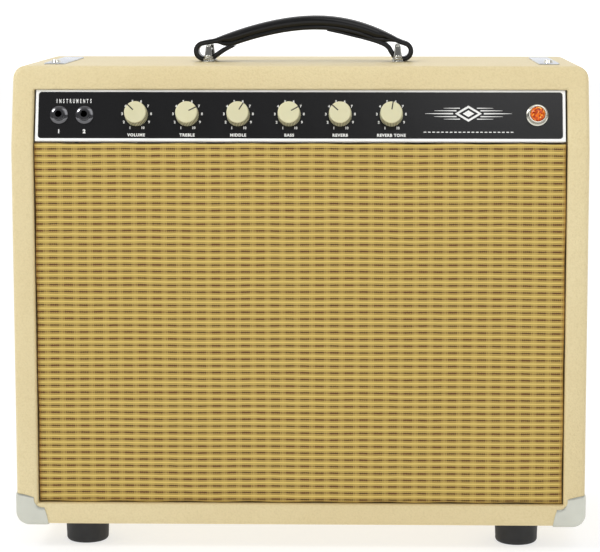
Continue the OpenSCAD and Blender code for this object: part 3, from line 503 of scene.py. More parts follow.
KNOB = plastic("cream_knob", (217, 212, 174), 0.34, 0.04, 1200, 0.03,
               Subsurface_Weight=0.08, Subsurface_Radius=(0.003, 0.002, 0.001))
# painted shade for the valleys of the knobs' flutes
KNOB_FLUTE_SHADE = plastic("knob_flute_shade", (104, 92, 56), 0.5, 0.1, 1200, 0.12)
KNOB_INLAY = plastic("knob_pointer", (28, 22, 18), 0.5, 0.03)
BLACK = plastic("black_moulded", (28, 28, 29), 0.45, 0.12, 1100)
PHENOLIC = plastic("phenolic_brown", (74, 44, 26), 0.4, 0.08, 900)
PAPER = plastic("doped_paper", (46, 42, 38), 0.8, 0.5, 700, 0.15)
FELT = plastic("doped_cloth", (34, 31, 29), 0.85, 0.6, 1500, 0.15)
SPIDER = plastic("spider_cloth", (176, 148, 92), 0.85, 0.5, 1600, 0.12)
BASKET = plastic("basket_paint", (40, 41, 44), 0.4, 0.15, 500, 0.1)
FERRITE = plastic("ferrite", (50, 51, 54), 0.55, 0.3, 600, 0.12)
ENAMEL = plastic("transformer_enamel", (30, 31, 33), 0.35, 0.1, 500)
BOARD_FIBRE = plastic("fibre_board", (150, 116, 66), 0.6, 0.2, 800, 0.12)
CABLE = plastic("cable_jacket", (30, 30, 31), 0.5, 0.1, 1000)


# ---- covered cabinet
def front_at(z):
    """The front plane at a height: upright, then leaning back, with a soft bend between."""
    w = 4 * MM
    t = (z - BREAK_Z) / w
    return FRONT + w * tan(SLANT) * (t if t >= 1 else max(t + 1, 0) ** 2 / 4)


def outline(inset):
    """Stations round the cabinet at an inset from its outer face, as (x, z), from the middle
    of the underside anticlockwise as seen from the front."""
    r = max(OUTER_R - inset, 0.8 * MM)
    x1, z0, z1 = RIGHT - inset, BASE + inset, TOP - inset
    across = [60 * MM * i for i in range(1, 5)]
    half = [(0, z0)] + [(x, z0) for x in across] + fillet(x1 - r, z0 + r, r, -90, 0, 8)
    half += [(x1, BASE + h * MM) for h in (32, 60, 130, 210, 290, 350, 366, 369.5, 372, 374.5,
                                           378, 392, 412, 426)]
    half += fillet(x1 - r, z1 - r, r, 0, 90, 8) + [(x, z1) for x in reversed(across)]
    return half + [(0, z1)] + [(-x, z) for x, z in reversed(half[1:])]


EDGE_R = 4.5 * MM
LIP_R = 2.6 * MM
BARE = BOARD - 0.6 * MM                   # inset of the bare wood, inside the covering
TOP_LIP = 1.9 * MM                        # how far the top board's front edge hangs down
LIP_STATION = BASE + 426.5 * MM


def shell_profile():
    """(inset, offset, from the front?) round one board's section. The front's edge and lip come
    first, then the inside of the board, then the back's edge and lip, which are the same."""
    edge = fillet(EDGE_R, EDGE_R, EDGE_R, 180, 270, 6) + [(BOARD / 2, 0)]
    edge += fillet(BOARD - LIP_R, LIP_R, LIP_R, -90, 0, 3)
    inside = [(BOARD, 30 * MM), (BARE, 30.4 * MM)]
    front = edge + [(BOARD, 7.0 * MM), (BOARD, 7.6 * MM)] + inside + [(BARE, 110 * MM)]
    return ([(inset, off, True) for inset, off in front]
            + [(inset, -off, False) for inset, off in reversed(edge + inside)]
            + [(0, -60 * MM, False), (0, 130 * MM, True), (0, 60 * MM, True)])


def cabinet_cover():
    profile = shell_profile()
    verts = []
    for inset, off, from_front in profile:
        hang = TOP_LIP if from_front and inset > BOARD / 2 and off < 7.3 * MM else 0.0
        for x, z in outline(inset):
            z -= hang if z > LIP_STATION else 0.0
            y = front_at(z) + off if from_front else BACK + off
            verts.append((x, y, z))
    rows, cols = len(profile), len(outline(0))
    faces = strip_faces(rows, cols, wrap_rows=True, wrap_cols=True)
    bare = [inset == BARE for inset, _, _ in profile]
    ids = [int(bare[r] and bare[r + 1]) for r in range(rows) for _ in range(cols)]
    build("cabinet_cover", verts, faces, [VINYL, PINE], ids, sharp=50, slot="covered_wood",
          replaces=["side_board_left", "side_board_right", "top_board", "bottom_board"])


# ---- woven grille
def grille():
    edge, hem = 3.0 * MM, 13 * MM
    turn = fillet(0, edge, edge, -72, 0, 4)

    def fold(lo, hi, n):
        """(position, how far it is turned back) from one folded edge to the other."""
        first = [(lo, 14 * MM), (lo, 6 * MM)] + [(lo + edge - s, b) for s, b in reversed(turn)]
        face = [(lo + 4 * MM + (hi - lo - 8 * MM) * i / n, 0.0) for i in range(n + 1)]
        last = [(hi - edge + s, b) for s, b in turn] + [(hi, 6 * MM), (hi, 14 * MM)]
        return first + face + last

    xs = fold(CLOTH_LOW.x, CLOTH_HIGH.x, 140)
    zs = fold(CLOTH_LOW.z, CLOTH_HIGH.z, 420)
    verts = []
    for z, bz in zs:
        ripple = 0.35 * MM * sin(z * 61.0)
        phase = 2 * pi * (z - ROW_0) / ROW
        cord = 0.10 * cos(phase) + 0.05 * cos(2 * phase)
        for x, bx in xs:
            column = 0.5 - 0.5 * cos(2 * pi * (x - COL_0) / COL)
            wave = 0.12 * sin(x * 55 + z * 9) + 0.1 * sin(z * 38 - x * 13)
            back = max(bx, bz)
            relief = 0.0 if back > 1 * MM else cord * (0.65 + 0.35 * column) + wave + 0.3
            wavy_x = x + (ripple if bx > 0 else 0)
            wavy_z = z + (0.45 * MM * sin(x * 96) if bz > 0 else 0)
            verts.append((wavy_x, CLOTH_LOW.y + back + relief * MM, wavy_z))
    ob = build("woven_grille", verts, strip_faces(len(zs), len(xs)), [CLOTH], sharp=60,
               slot="cloth", replaces=["grille_cloth"])


# ---- control panel
PANEL = moved(0, FRONT, BREAK_Z) @ Matrix.Rotation(-SLANT, 4, "X")
RECESS = 4 * MM
AXIS_Z = 33.7 * MM
# local X across, local Y up the slope, local Z out of the panel towards the player
OUTWARD = Matrix(((1, 0, 0, 0), (0, 0, -1, 0), (0, 1, 0, 0), (0, 0, 0, 1)))


def on_plate(x, up=AXIS_Z, lift=0.0):
    return PANEL @ moved(x, RECESS - lift, up) @ OUTWARD


KNOBS = ["volume", "treble", "middle", "bass", "reverb", "tone"]
LABELS = [name.upper() for name in KNOBS[:5]] + ["REVERB TONE"]
POINTER = [-45.5, 63, 32, 60.5, -47.8, 9]
KNOB_X = [(-158.5 + 49.4 * i) * MM for i in range(6)]
JACK_X = [-233.8 * MM, -209.1 * MM]
PILOT_X = 229.3 * MM
REAR_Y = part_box("rear_plate")[1].y
REAR_Z = 428 * MM
PRINT_LIFT = 0.05 * MM


def lettering(soup, text, x, up, height, bold=0.0, spacing=1.0, squeeze=1.0):
    """Adds flat raised letters to soup, centred on a point of the panel."""
    cu = bpy.data.curves.new("letters", "FONT")
    cu.body = text
    cu.align_x, cu.align_y = "CENTER", "CENTER"
    cu.space_character = spacing
    cu.offset = bold
    cu.resolution_u = 4
    ob = bpy.data.objects.new("letters", cu)
    bpy.context.scene.collection.objects.link(ob)
    bpy.context.view_layer.update()
    me = bpy.data.meshes.new_from_object(ob)
    k = height / 0.70                 # a capital is 0.70 high in a font of size 1
    soup.add([(v.co.x * k * squeeze, v.co.y * k, 0) for v in me.vertices],
             [tuple(p.vertices) for p in me.polygons], 0, on_plate(x, up, PRINT_LIFT))
    bpy.data.objects.remove(ob)
    bpy.data.meshes.remove(me)
    bpy.data.curves.remove(cu)


def mark(soup, points, x, up):
    """Adds one flat printed shape given in millimetres round a point of the panel."""
    soup.add(mm([(*p, 0) for p in points]), [tuple(range(len(points)))], 0,
             on_plate(x, up, PRINT_LIFT))


def ornament(soup, x, up):
    """A lozenge between two sets of tapering bars."""
    ring, small, heart = [[(w, 0), (0, h), (-w, 0), (0, -h)]
                          for w, h in ((13.0, 8.0), (9.4, 5.6), (5.6, 3.3))]
    for i in range(4):
        j = (i + 1) % 4
        mark(soup, [ring[i], ring[j], small[j], small[i]], x, up)
    mark(soup, heart, x, up)
    for side in (-1, 1):
        for level, start, end, thick in ((-5.4, 8.2, 24, 0.9), (-2.9, 11.6, 33, 1.2),
                                         (0, 14.8, 42, 1.5), (2.9, 11.6, 33, 1.2),
                                         (5.4, 8.2, 24, 0.9)):
            pts = [(side * start, level - thick / 2), (side * end, level - 0.12),
                   (side * end, level + 0.12), (side * start, level + thick / 2)]
            mark(soup, pts[::side], x, up)


def panel_print():
    """Names and dial numbers of the controls, words at the jacks, and an ornament with a row
    of dashes under it."""
    s = Soup()
    ring, first, step = 14.1 * MM, -154, 34.2     # where the numbers of a dial stand
    for x, label in zip(KNOB_X, LABELS):
        lettering(s, label, x, 13.9 * MM, 2.7 * MM, 0.05, 1.2, 1.0 if len(label) < 9 else 0.98)
        for n in range(10):
            a = radians(first + step * n)
            lettering(s, str(n + 1), x + ring * sin(a), AXIS_Z + ring * cos(a), 2.4 * MM, 0.045)
    middle, pitch = sum(JACK_X) / 2 + 1.8 * MM, 3.3 * MM
    for k, letter in enumerate("INSTRUMENTS"):
        lettering(s, letter, middle + (k - 5) * pitch, 47.3 * MM, 3.9 * MM, 0.03,
                  squeeze=0.7 if letter == "I" else 0.5)
    for x, label in zip(JACK_X, "12"):
        lettering(s, label, x, 17.4 * MM, 3.5 * MM, 0.06)
    badge_x, gap = 163, 4.2
    ornament(s, badge_x * MM, 35.5 * MM)
    for i in range(-10, 11):
        mark(s, [(-1.3, -0.45), (1.3, -0.45), (1.3, 0.45), (-1.3, 0.45)],
             (badge_x + i * gap) * MM, 17.2 * MM)
    s.make("panel_print", [PRINT], slot="white_plastic")


def hex_nut(flat, bore, height):
    """Section of a hexagonal nut with its corners turned off at the top."""
    r = flat / cos(radians(30))
    return [(bore, 0), (r, 0), (r, height - 0.5), (r - 0.7, height), (bore, height), (bore, 0)]


def on_rear(x):
    """At a point of the rear wall, with Z pointing backwards."""
    return moved(x * MM, REAR_Y, REAR_Z) @ Matrix.Rotation(-pi / 2, 4, "X")


def panel_nuts():
    """Round domed nuts on the jacks, plain hexagonal nuts under the knobs and behind."""
    s = Soup()
    dome = ([(4.76, -0.1), (8.9, -0.1), (8.9, 0.4), (8.75, 0.7), (8.35, 0.95), (7.7, 1.24),
             (7.0, 1.5), (6.15, 1.77), (5.95, 1.7), (5.9, 2.7)]
            + fillet(5.5, 3.2, 0.4, 0, 90, 4) + [(4.76, 3.6), (4.76, -0.1)])
    small, large = hex_nut(6.35, 4.75, 2.4), hex_nut(8, 6, 2.5)
    for x in JACK_X:
        s.turn(dome, 96, 0, on_plate(x))
    for x in KNOB_X:
        s.turn(small, 6, 1, on_plate(x))
    rear_jacks, switches = (-70, -98, -160), (112, 76)
    for nut, places in ((small, rear_jacks), (large, switches)):
        for x in places:
            s.turn(nut, 6, 1, on_rear(x))
    s.make("panel_nuts_turned", [NUT_DARK, ZINC], sharp=30, slot="nickel",
           replaces=["panel_nuts"])


def knob(i):
    """A fluted knob with a flat face, a chamfer and a dark inlaid pointer."""
    flutes, flute = 44, (0.0, 0.425, 0.6375, 0.425)
    per = len(flute)
    segs = flutes * per
    # (radius, height, share of the flutes' depth)
    levels = [(8.3, 0.9, 0.0), (10.9, 0.85, 0.0), (11.3, 1.2, 0.5), (11.28, 2.2, 1.0),
              (11.05, 7.0, 1.0), (10.85, 11.6, 1.0), (10.78, 13.2, 1.0), (10.7, 14.0, 0.35),
              (10.55, 14.75, 0.0), (10.25, 15.35, 0.0), (9.8, 15.68, 0.0), (9.0, 15.8, 0.0),
              (6.0, 15.8, 0.0), (2.4, 15.78, 0.0)]
    verts = []
    for r, h, cut in levels:
        for k in range(segs):
            at = (r - flute[k % per] * cut) * MM
            a = 2 * pi * k / segs
            verts.append((at * cos(a), at * sin(a), h * MM))
    faces = strip_faces(len(levels), segs, wrap_cols=True)
    # painted shade: faces in the flute valleys of the skirt take the darker material
    ids = [2 if 2 <= level <= 6 and k % per in (1, 2) else 0
           for level in range(len(levels) - 1) for k in range(segs)]
    top = len(verts)
    verts.append((0, 0, 15.78 * MM))
    last = (len(levels) - 1) * segs
    faces += [(last + k, last + (k + 1) % segs, top) for k in range(segs)]
    ids += [0] * segs
    # hollow back, up to the web that grips the shaft
    back, inward = lathe(mm([(8.3, 0.9), (8.2, 9.0), (3.3, 9.0), (3.3, 13.0)]), segs)
    s = Soup()
    turn = on_plate(KNOB_X[i]) @ Matrix.Rotation(-radians(POINTER[i]), 4, "Z")
    s.add(verts, faces, ids, turn)
    s.add(back, flipped(inward), 0, turn)
    # the pointer runs from the chamfer in towards the middle, just proud of the face
    half = 0.58
    spine = [(2.6, 15.83), (9.4, 15.83), (10.1, 15.6), (10.62, 14.95), (10.78, 14.2)]
    s.add(mm([(side * half, r, h) for r, h in spine for side in (-1, 1)]),
          [(k, k + 1, k + 3, k + 2) for k in range(0, 2 * len(spine) - 2, 2)], 1, turn)
    s.make("dial_" + KNOBS[i], [KNOB, KNOB_INLAY, KNOB_FLUTE_SHADE], sharp=38,
           body=KNOBS[i] + "_control", slot="knob_plastic", replaces=["knob_" + KNOBS[i]])


def jewel_material():
    m = Mat("jewel_orange", rough=0.16, Transmission_Weight=0.12, IOR=1.49,
            Specular_IOR_Level=0.25, Coat_Weight=0.08, Coat_Roughness=0.05, Emission_Strength=0.17)
    # random tones from red-brown to pale yellow over the facets: partly the glass's own tone,
    # partly painted reflections of facets catching light
    facet_tone_and_glint = m.node("SeparateColor", {0: m.voronoi(560, out="Color")}).outputs[0]
    color = m.ramp(facet_tone_and_glint, [(0.15, srgb(140, 34, 4)), (0.5, srgb(214, 84, 12)),
                         (0.8, srgb(240, 128, 20)), (0.95, srgb(255, 196, 96))])
    m.set("Base Color", color)
    m.set("Emission Color", color)
    return m.m


def pilot():
    s = Soup()
    s.turn([(8.0, -3), (10.9, -3), (10.9, 0.0), (10.75, 1.4)] + fillet(9.9, 1.5, 0.85, 0, 80, 4)
           + [(9.45, 2.6), (9.2, 3.1), (9.25, 3.6), (8.95, 7.2)]
           + fillet(8.4, 7.7, 0.5, 0, 90, 4) + fillet(7.7, 7.7, 0.5, 90, 180, 4)
           + [(7.15, 7.0), (7.1, 3.0)], 64, 0, on_plate(PILOT_X))
    s.make("pilot_ring", [NICKEL], slot="nickel", replaces=["pilot_bezel"])
    # faceted lens: flat triangles between staggered rings of (radius, height, points)
    rows = [(7.1, 3.0, 16), (7.05, 8.2, 16), (6.2, 9.6, 16), (4.6, 10.5, 16), (2.6, 11.0, 8),
            (0, 11.1, 1)]
    verts, faces, rings = [], [], []
    for level, (r, h, n) in enumerate(rows):
        rings.append((len(verts), n))
        angles = [2 * pi * (k + 0.5 * (level % 2)) / n for k in range(n)]
        verts += mm([(r * cos(a), r * sin(a), h) for a in angles])
    for (a, na), (b, nb), level in zip(rings, rings[1:], range(9)):
        if nb == 1:
            faces += [(a + k, a + (k + 1) % na, b) for k in range(na)]
        elif na == nb:
            for k in range(na):
                q = (k + 1) % na
                if level % 2:
                    faces += [(a + k, b + q, b + k), (a + k, a + q, b + q)]
                else:
                    faces += [(a + k, a + q, b + k), (a + q, b + q, b + k)]
        else:
            for k in range(nb):
                a0, a1, a2 = a + 2 * k, a + (2 * k + 1) % na, a + (2 * k + 2) % na
                faces += [(a0, a1, b + k), (a1, b + (k + 1) % nb, b + k),
                          (a1, a2, b + (k + 1) % nb)]
    s = Soup()
    s.add(verts, faces, 0, on_plate(PILOT_X))
    s.make("pilot_lens", [jewel_material()], sharp=4, slot="jewel", replaces=["pilot_jewel"])


# ---- carrying handle
# heights over the cabinet's top, in millimetres, at x millimetres from the middle
def settle(x):
    """The handle leans a little to one side."""
    return 2.6 * sin(x / 118 * pi)


def arch_top(x):
    return 46.2 - x * x / 388 + settle(x)


def arch_low(x):
    return 31.8 - x * x / 380 + settle(x)


def between(x, points):
    """Straight-line reading of a list of (x, value)."""
    for (x0, v0), (x1, v1) in zip(points, points[1:]):
        if x <= x1:
            return v0 + (v1 - v0) * max(0.0, (x - x0) / (x1 - x0))
    return points[-1][1]


# where the padded grip thins to one strap, as (distance from the middle, underside)
GRIP_END = {-1: [(72, 15.6), (78, 15.6), (82, 16.2), (86, 18.1), (93, 18.4)],
            1: [(72, 20.3), (78, 20.0), (84, 19.8), (88, 20.2), (93, 19.6)]}
LOOP_X, LOOP_Z, LOOP_R = 101, 10.8, 7.95


def grip_low(x):
    """Underside of the padded grip."""
    return arch_low(x) if abs(x) <= 72 else between(abs(x), GRIP_END[1 if x > 0 else -1])


def grip_half_width(x):
    return 13.0 - 0.9 * max(0, (abs(x) - 60) / 33) ** 2


def loop_path(side):
    """The strap's middle line: out of the grip, round the bar and back under the grip."""
    turn = fillet(LOOP_X, LOOP_Z, LOOP_R, 66, -114, 12)
    if side < 0:
        start = [(76, 25.4), (81, 23.6), (86, 21.8), (91.5, 20.5), (97.5, 19.5)]
        end = [(94.4, 3.7), (90.6, 5.0), (86, 8.4), (81.5, 11.4), (77, 13.9), (73.2, 15.6),
               (70.5, 16.8)]
    else:
        start = [(76, 29.4), (82, 27.4), (88, 24.9), (94, 21.9), (99.3, 19.7)]
        end = [(94.8, 4.0), (91.4, 6.2), (88.8, 10.2), (86.7, 14.0), (83.4, 17.0),
               (79, 18.8), (74, 20.4), (68, 21.9), (60, 23.9), (50, 26.3), (38, 29.3),
               (29, 31.2), (24, 32.3)]
    return start + turn + end


def handle():
    s = Soup()
    base = moved(0, MID_Y, TOP)
    # padded grip: two layers sewn together, with a groove between them
    stations = [-93, -90, -87, -84, -81, -77, -73, -69, -64, -58, -52, -45, -37, -29, -20, -10]
    stations += [0] + [-x for x in reversed(stations)]
    verts = []
    for x in stations:
        low = grip_low(x)
        t = arch_top(x) - low
        w = grip_half_width(x)
        lay = min(4.3, t * 0.36)              # thickness of the lower layer
        # from the middle of the underside to the middle of the top
        half = [(0, 0.1), (w * 0.55, 0.0), (w - 2.2, 0.15), (w - 0.8, 0.6), (w - 0.3, lay * 0.45),
                (w - 0.35, lay * 0.88), (w - 1.35, lay * 1.04), (w - 0.9, lay * 1.2),
                (w, t * 0.58), (w - 0.45, t * 0.76), (w - 1.7, t * 0.9), (w - 3.2, t * 0.955),
                (w - 3.9, t * 0.94), (w - 4.6, t * 0.968), (w * 0.35, t * 0.997), (0, t)]
        ring = half + [(-y, z) for y, z in reversed(half[1:-1])]
        verts += mm([(x, y, low + z) for y, z in ring])
    s.add(verts, flipped(tube_faces(len(stations), len(ring))), 0, base)
    for side in (-1, 1):
        path = loop_path(side)
        thin, last = (0.5, 4) if side < 0 else (1.15, 9)
        thin_from = (len(path) - last) / (len(path) - 1)

        def section(f):
            tail = max(0, min(1, (f - thin_from) / 0.12))
            return mm(capsule_section(12.4, 2.4 - thin * tail, 0.9))

        v, f = sweep([Vector((side * px, 0, pz)) * MM for px, pz in path], section)
        s.add(v, flipped(f) if side < 0 else f, 0, base)

    def stitch(a, b):
        """One thread from a to b, bulging up out of the leather."""
        t = (b - a).normalized()
        n = Vector((0, 0, 1))
        u = n.cross(t)
        out = []
        for c, wide in ((0.0, 0.25), (0.18, 1.0), (0.82, 1.0), (1.0, 0.25)):
            m = a.lerp(b, c)
            for k in range(6):
                ang = 2 * pi * k / 6
                out.append(m + (u * cos(ang) * 0.42 + n * sin(ang) * 0.34) * MM * wide)
        s.add(out, tube_faces(4, 6), 1, base)

    def seam(x, side):
        rise = arch_top(x) - 0.05 * (arch_top(x) - grip_low(x))
        return Vector((x, side * (grip_half_width(x) - 3.9), rise)) * MM

    for side in (-1, 1):
        for k in range(45):
            x = -82 + k * 3.6
            stitch(seam(x, side), seam(x + 2.5, side))
    s.make("leather_handle", [LEATHER, THREAD], sharp=55, body="handle", slot="leather",
           replaces=["handle_strap"])


def strap_rivets():
    """Two domed rivets under the ends of the strap, as (x, height, tilt)."""
    s = Soup()
    for x, z, tilt in ((-76.3, 13.0, -24), (78.8, 18.1, 22)):
        s.turn([(1.6, -1.6), (1.6, 0), (2.5, 0), (2.7, 0.2), (2.5, 0.65), (1.9, 1.05),
                (1.0, 1.25), (0, 1.3)], 32, 0, moved(x * MM, MID_Y, TOP + z * MM)
               @ Matrix.Rotation(pi + radians(tilt), 4, "Y"))
    s.make("strap_rivets", [POST], sharp=35, body="handle", slot="nickel",
           replaces=["handle_rivets"])


def posts():
    low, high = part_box("handle_brackets")
    foot = 6.1
    bar_x, dy = high.x - foot * MM, (high.y - low.y) / 2 - foot * MM
    v, f = lathe(mm([(0, -1), (foot, -1), (foot, 0.5)] + fillet(5.8, 0.75, 0.35, 0, 90, 3)
                    + [(5.2, 1.5), (4.9, 2.6), (5.1, 2.9), (5.1, 3.5), (4.5, 3.9), (4.1, 4.6),
                       (4.55, 5.0), (4.6, 5.7), (4.2, 6.1), (3.95, 7.2), (3.6, 9.2),
                       (3.2, 11.8), (3.0, 14.2)] + fillet(0.4, 15.0, 2.5, 0, 88, 7)
                    + [(0, 17.5)]), 64)
    # the foot of each post is scalloped
    for k, p in enumerate(v):
        if p[2] < 4.2 * MM:
            c = 1 - 0.09 * (0.5 - 0.5 * cos(8 * atan2(p[1], p[0])))
            v[k] = (p[0] * c, p[1] * c, p[2])
    s = Soup()
    for x in (-bar_x, bar_x):
        for y in (-dy, dy):
            s.add(v, f, 0, moved(x, MID_Y + y, TOP))
        s.turn([(0, -20.5), (1.9, -20.5), (1.9, 20.5), (0, 20.5)], 20, 0,
               moved(x, MID_Y, TOP + 12.4 * MM) @ Matrix.Rotation(pi / 2, 4, "X"))
    s.make("handle_posts", [POST], sharp=35, slot="nickel", replaces=["handle_brackets"])


def top_straps():
    low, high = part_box("chassis_straps")
    s = Soup()
    for x1 in (low.x + 20 * MM, high.x):
        s.add(*slab((x1 - 20 * MM, low.y, low.z - 0.2 * MM), (x1, high.y, high.z), 0.7 * MM))
    s.make("top_straps", [STRAP], sharp=35, slot="nickel", replaces=["chassis_straps"])


# ---- pressed corner caps
def corner_caps():
    """Each cap is a patch lying on the cover's own surface, with turned-down edges."""
    thick, leg, lean = 1.3 * MM, 31 * MM, 5.5 * MM
    notch_x, notch_z, notch_r = LEFT + BOARD + 4.5 * MM, FLOOR_Z + 4.5 * MM, 8.5 * MM
    n_leg, n_arc = 14, 10
    total = 2 * n_leg + n_arc

    def station(k, inset):
        """(x, z) at an inset; k runs from 0, up the side, to total, along the underside."""
        r = max(OUTER_R - inset, 0.8 * MM)
        x0, z0 = LEFT + inset, BASE + inset
        reach = leg - lean * (max(inset, 0) / BOARD) ** 1.6
        if k <= n_leg:
            top = BASE + reach
            return x0, top + (z0 + r - top) * k / n_leg
        if k <= n_leg + n_arc:
            a = pi + (k - n_leg) / n_arc * pi / 2
            return x0 + r + r * cos(a), z0 + r + r * sin(a)
        return x0 + r + (LEFT + reach - x0 - r) * (k - n_leg - n_arc) / n_leg, z0

    def inner_limit(k):
        """Largest inset that stays on the board's front edge and outside the notch."""
        for i in range(200):
            d = BOARD * (1 - i / 200) - 0.4 * MM
            x, z = station(k, d)
            if hypot(x - notch_x, z - notch_z) >= notch_r:
                return d

    # the section runs from the leg's end along the side, round the edge and over the front
    arc = [radians(90 * i / 6) for i in range(7)]
    along = [(0.0, leg + (EDGE_R - leg) * f) for f in (0, 0.03, 0.3, 0.6, 0.85, 1.0)]
    bend = len(along)
    along += fillet(EDGE_R, EDGE_R, EDGE_R, 180, 270, 6)
    rows, cols = total + 1, len(along) + 4
    verts = []
    for skin in (0, 1):
        for k in range(rows):
            reach = max(inner_limit(k), EDGE_R + 0.1 * MM) - EDGE_R
            pts = along + [(EDGE_R + reach * f, 0.0) for f in (0.35, 0.7, 0.93, 1.0)]
            for j, (d, y) in enumerate(pts):
                border = min(k, total - k, j, cols - 1 - j)
                lift = 0.05 * MM if skin else thick * {0: 0.55, 1: 0.96}.get(border, 1.0)
                if j < bend:
                    x, z = station(k, -lift)
                    y += FRONT
                elif j < len(along):
                    x, z = station(k, d - lift * cos(arc[j - bend]))
                    y += FRONT - lift * sin(arc[j - bend])
                else:
                    x, z = station(k, d)
                    y = FRONT - lift
                verts.append((x, y, z))
    outer = strip_faces(rows, cols)
    shift = rows * cols
    faces = outer + flipped([[i + shift for i in f] for f in outer])
    end = (rows - 1) * cols
    ring = (list(range(cols - 1)) + list(range(cols - 1, end + cols - 1, cols))
            + list(range(end + cols - 1, end, -1)) + list(range(end, 0, -cols)))
    faces += [(b, a, a + shift, b + shift) for a, b in zip(ring, ring[1:] + ring[:1])]
    s = Soup()
    for fx in (1, -1):
        for fy in (1, -1):
            pts = [(fx * x, y if fy > 0 else 2 * MID_Y - y, z) for x, y, z in verts]
            s.add(pts, faces if fx * fy > 0 else flipped(faces))
    s.make("pressed_corners", [CAP_NICKEL], sharp=55, slot="nickel", replaces=["corner_caps"])


def feet():
    low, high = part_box("feet")
    r = 21.6
    x = high.x - r * MM
    y0, y1 = low.y + r * MM, high.y - r * MM
    v, f = lathe(mm([(2.1, 25), (r, 25), (r, 24.2), (20.9, 6)] + fillet(16.9, 4, 4, 0, -90, 8)
                    + [(9.0, 0.0)] + fillet(7.4, 0.9, 0.9, -90, -180, 3)
                    + [(6.2, 7.6), (5.4, 8.0), (2.1, 8)]), 72)
    s = Soup()
    for px in (-x, x):
        for py in (y0, y1):
            s.add(v, flipped(f), 0, moved(px, py, 0))
    s.make("rubber_feet", [RUBBER], sharp=35, slot="rubber", replaces=["feet"])


# ---- rear panels
def rear_panels():
    for node in ("rear_panel_upper", "rear_panel_lower"):
        build("covered_" + node, *slab(*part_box(node), 2.2 * MM), [VINYL], sharp=50,
              slot="covered_wood", replaces=[node])


# ---- speaker
BASKET_LOW, BASKET_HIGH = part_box("speaker_basket")
SPEAKER = (moved(0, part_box("baffle_board")[1].y, (BASKET_LOW.z + BASKET_HIGH.z) / 2)
           @ Matrix.Rotation(-pi / 2, 4, "X"))


CONE_R, CAP_R = 127, 34


def cone_depth(r):
    """Depth of the cone behind the baffle at a radius, both in millimetres."""
    return 6 + 60 * max(0.0, (CONE_R - r) / 104) ** 1.2


def speaker():
    ribs = [(r, cone_depth(r) + (0.35 if 92 < r < 124 and i % 2 else 0.0))
            for i, r in enumerate(CONE_R - 2.1 * k for k in range(45))]
    front = [(r, h) for r, h in ribs if r > CAP_R]
    rim, dome = cone_depth(CAP_R), 44
    cap = [(dome * sin(radians(a)), rim + 28 - dome * cos(radians(a)))
           for a in (49.5, *range(42, -1, -7))]
    back = [(22.4, 87), (23.0, 87), (23.8, 86), (23.8, 76), (23.0, 75.5), (23.0, 66.9)]
    back += [(r, cone_depth(r) + 0.9) for r in (28, CAP_R)]
    back += [(r, h + 0.9) for r, h in reversed(front)] + [(CONE_R, 6.0)]
    s = Soup()
    s.turn(front + [(CAP_R + 0.2, rim), (CAP_R - 0.2, rim - 0.6)] + cap, 96, 0, SPEAKER)
    s.turn(back, 96, 0, SPEAKER)
    s.make("paper_cone", [PAPER], sharp=50, body="cone", slot="paper", replaces=["speaker_cone"])

    def flexing(name, mat, line, thick, replaces=()):
        """A turned sheet that spans from the cabinet at one depth to the cone at another."""
        s = Soup()
        s.turn(line + [(r, h + thick) for r, h in reversed(line)], 96, 0, SPEAKER)
        ob = s.make(name, [mat], sharp=60, body=None, slot="surround", replaces=replaces)
        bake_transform(ob)

    # the rolled edge and the corrugated spider
    flexing("speaker_edge", FELT,
            [(153, 1.7), (139, 1.7), (137.2, 1.2), (135.6, 0.6), (134.2, 1.6), (133, 3.4),
             (131.6, 2.9), (130.4, 2.0), (129, 3.2), (127.4, 5.2), (122, 9.2)], 0.7,
            ["speaker_suspension"])
    flexing("speaker_spider", SPIDER,
            [(23 + i * 59.4 / 24, 66.2 + 3.6 * i / 24 + 0.8 * sin(i * pi / 2))
             for i in range(25)], 0.6)
    # magnet: steel plates and a ferrite ring, with chamfered edges
    s = Soup()
    for mat, profile in (
            (0, [(24.4, 80), (61, 80), (62, 81), (62, 86.2), (61.2, 87), (34, 87)]),
            (1, [(34, 87), (76.5, 87), (78, 88.5), (78, 105.5), (76.5, 107), (34, 107)]),
            (0, [(34, 107), (72.8, 107), (74, 108.2), (74, 112.6), (72.6, 114), (9, 114),
                 (7.6, 112.8), (0, 112.6)]),
            (0, [(0, 80.4), (21.2, 80.4), (21.9, 81.2), (21.9, 107)])):
        s.turn(profile, 80, mat, SPEAKER)
    s.make("speaker_motor", [ZINC, FERRITE], sharp=35, slot="magnet", replaces=["speaker_magnet"])


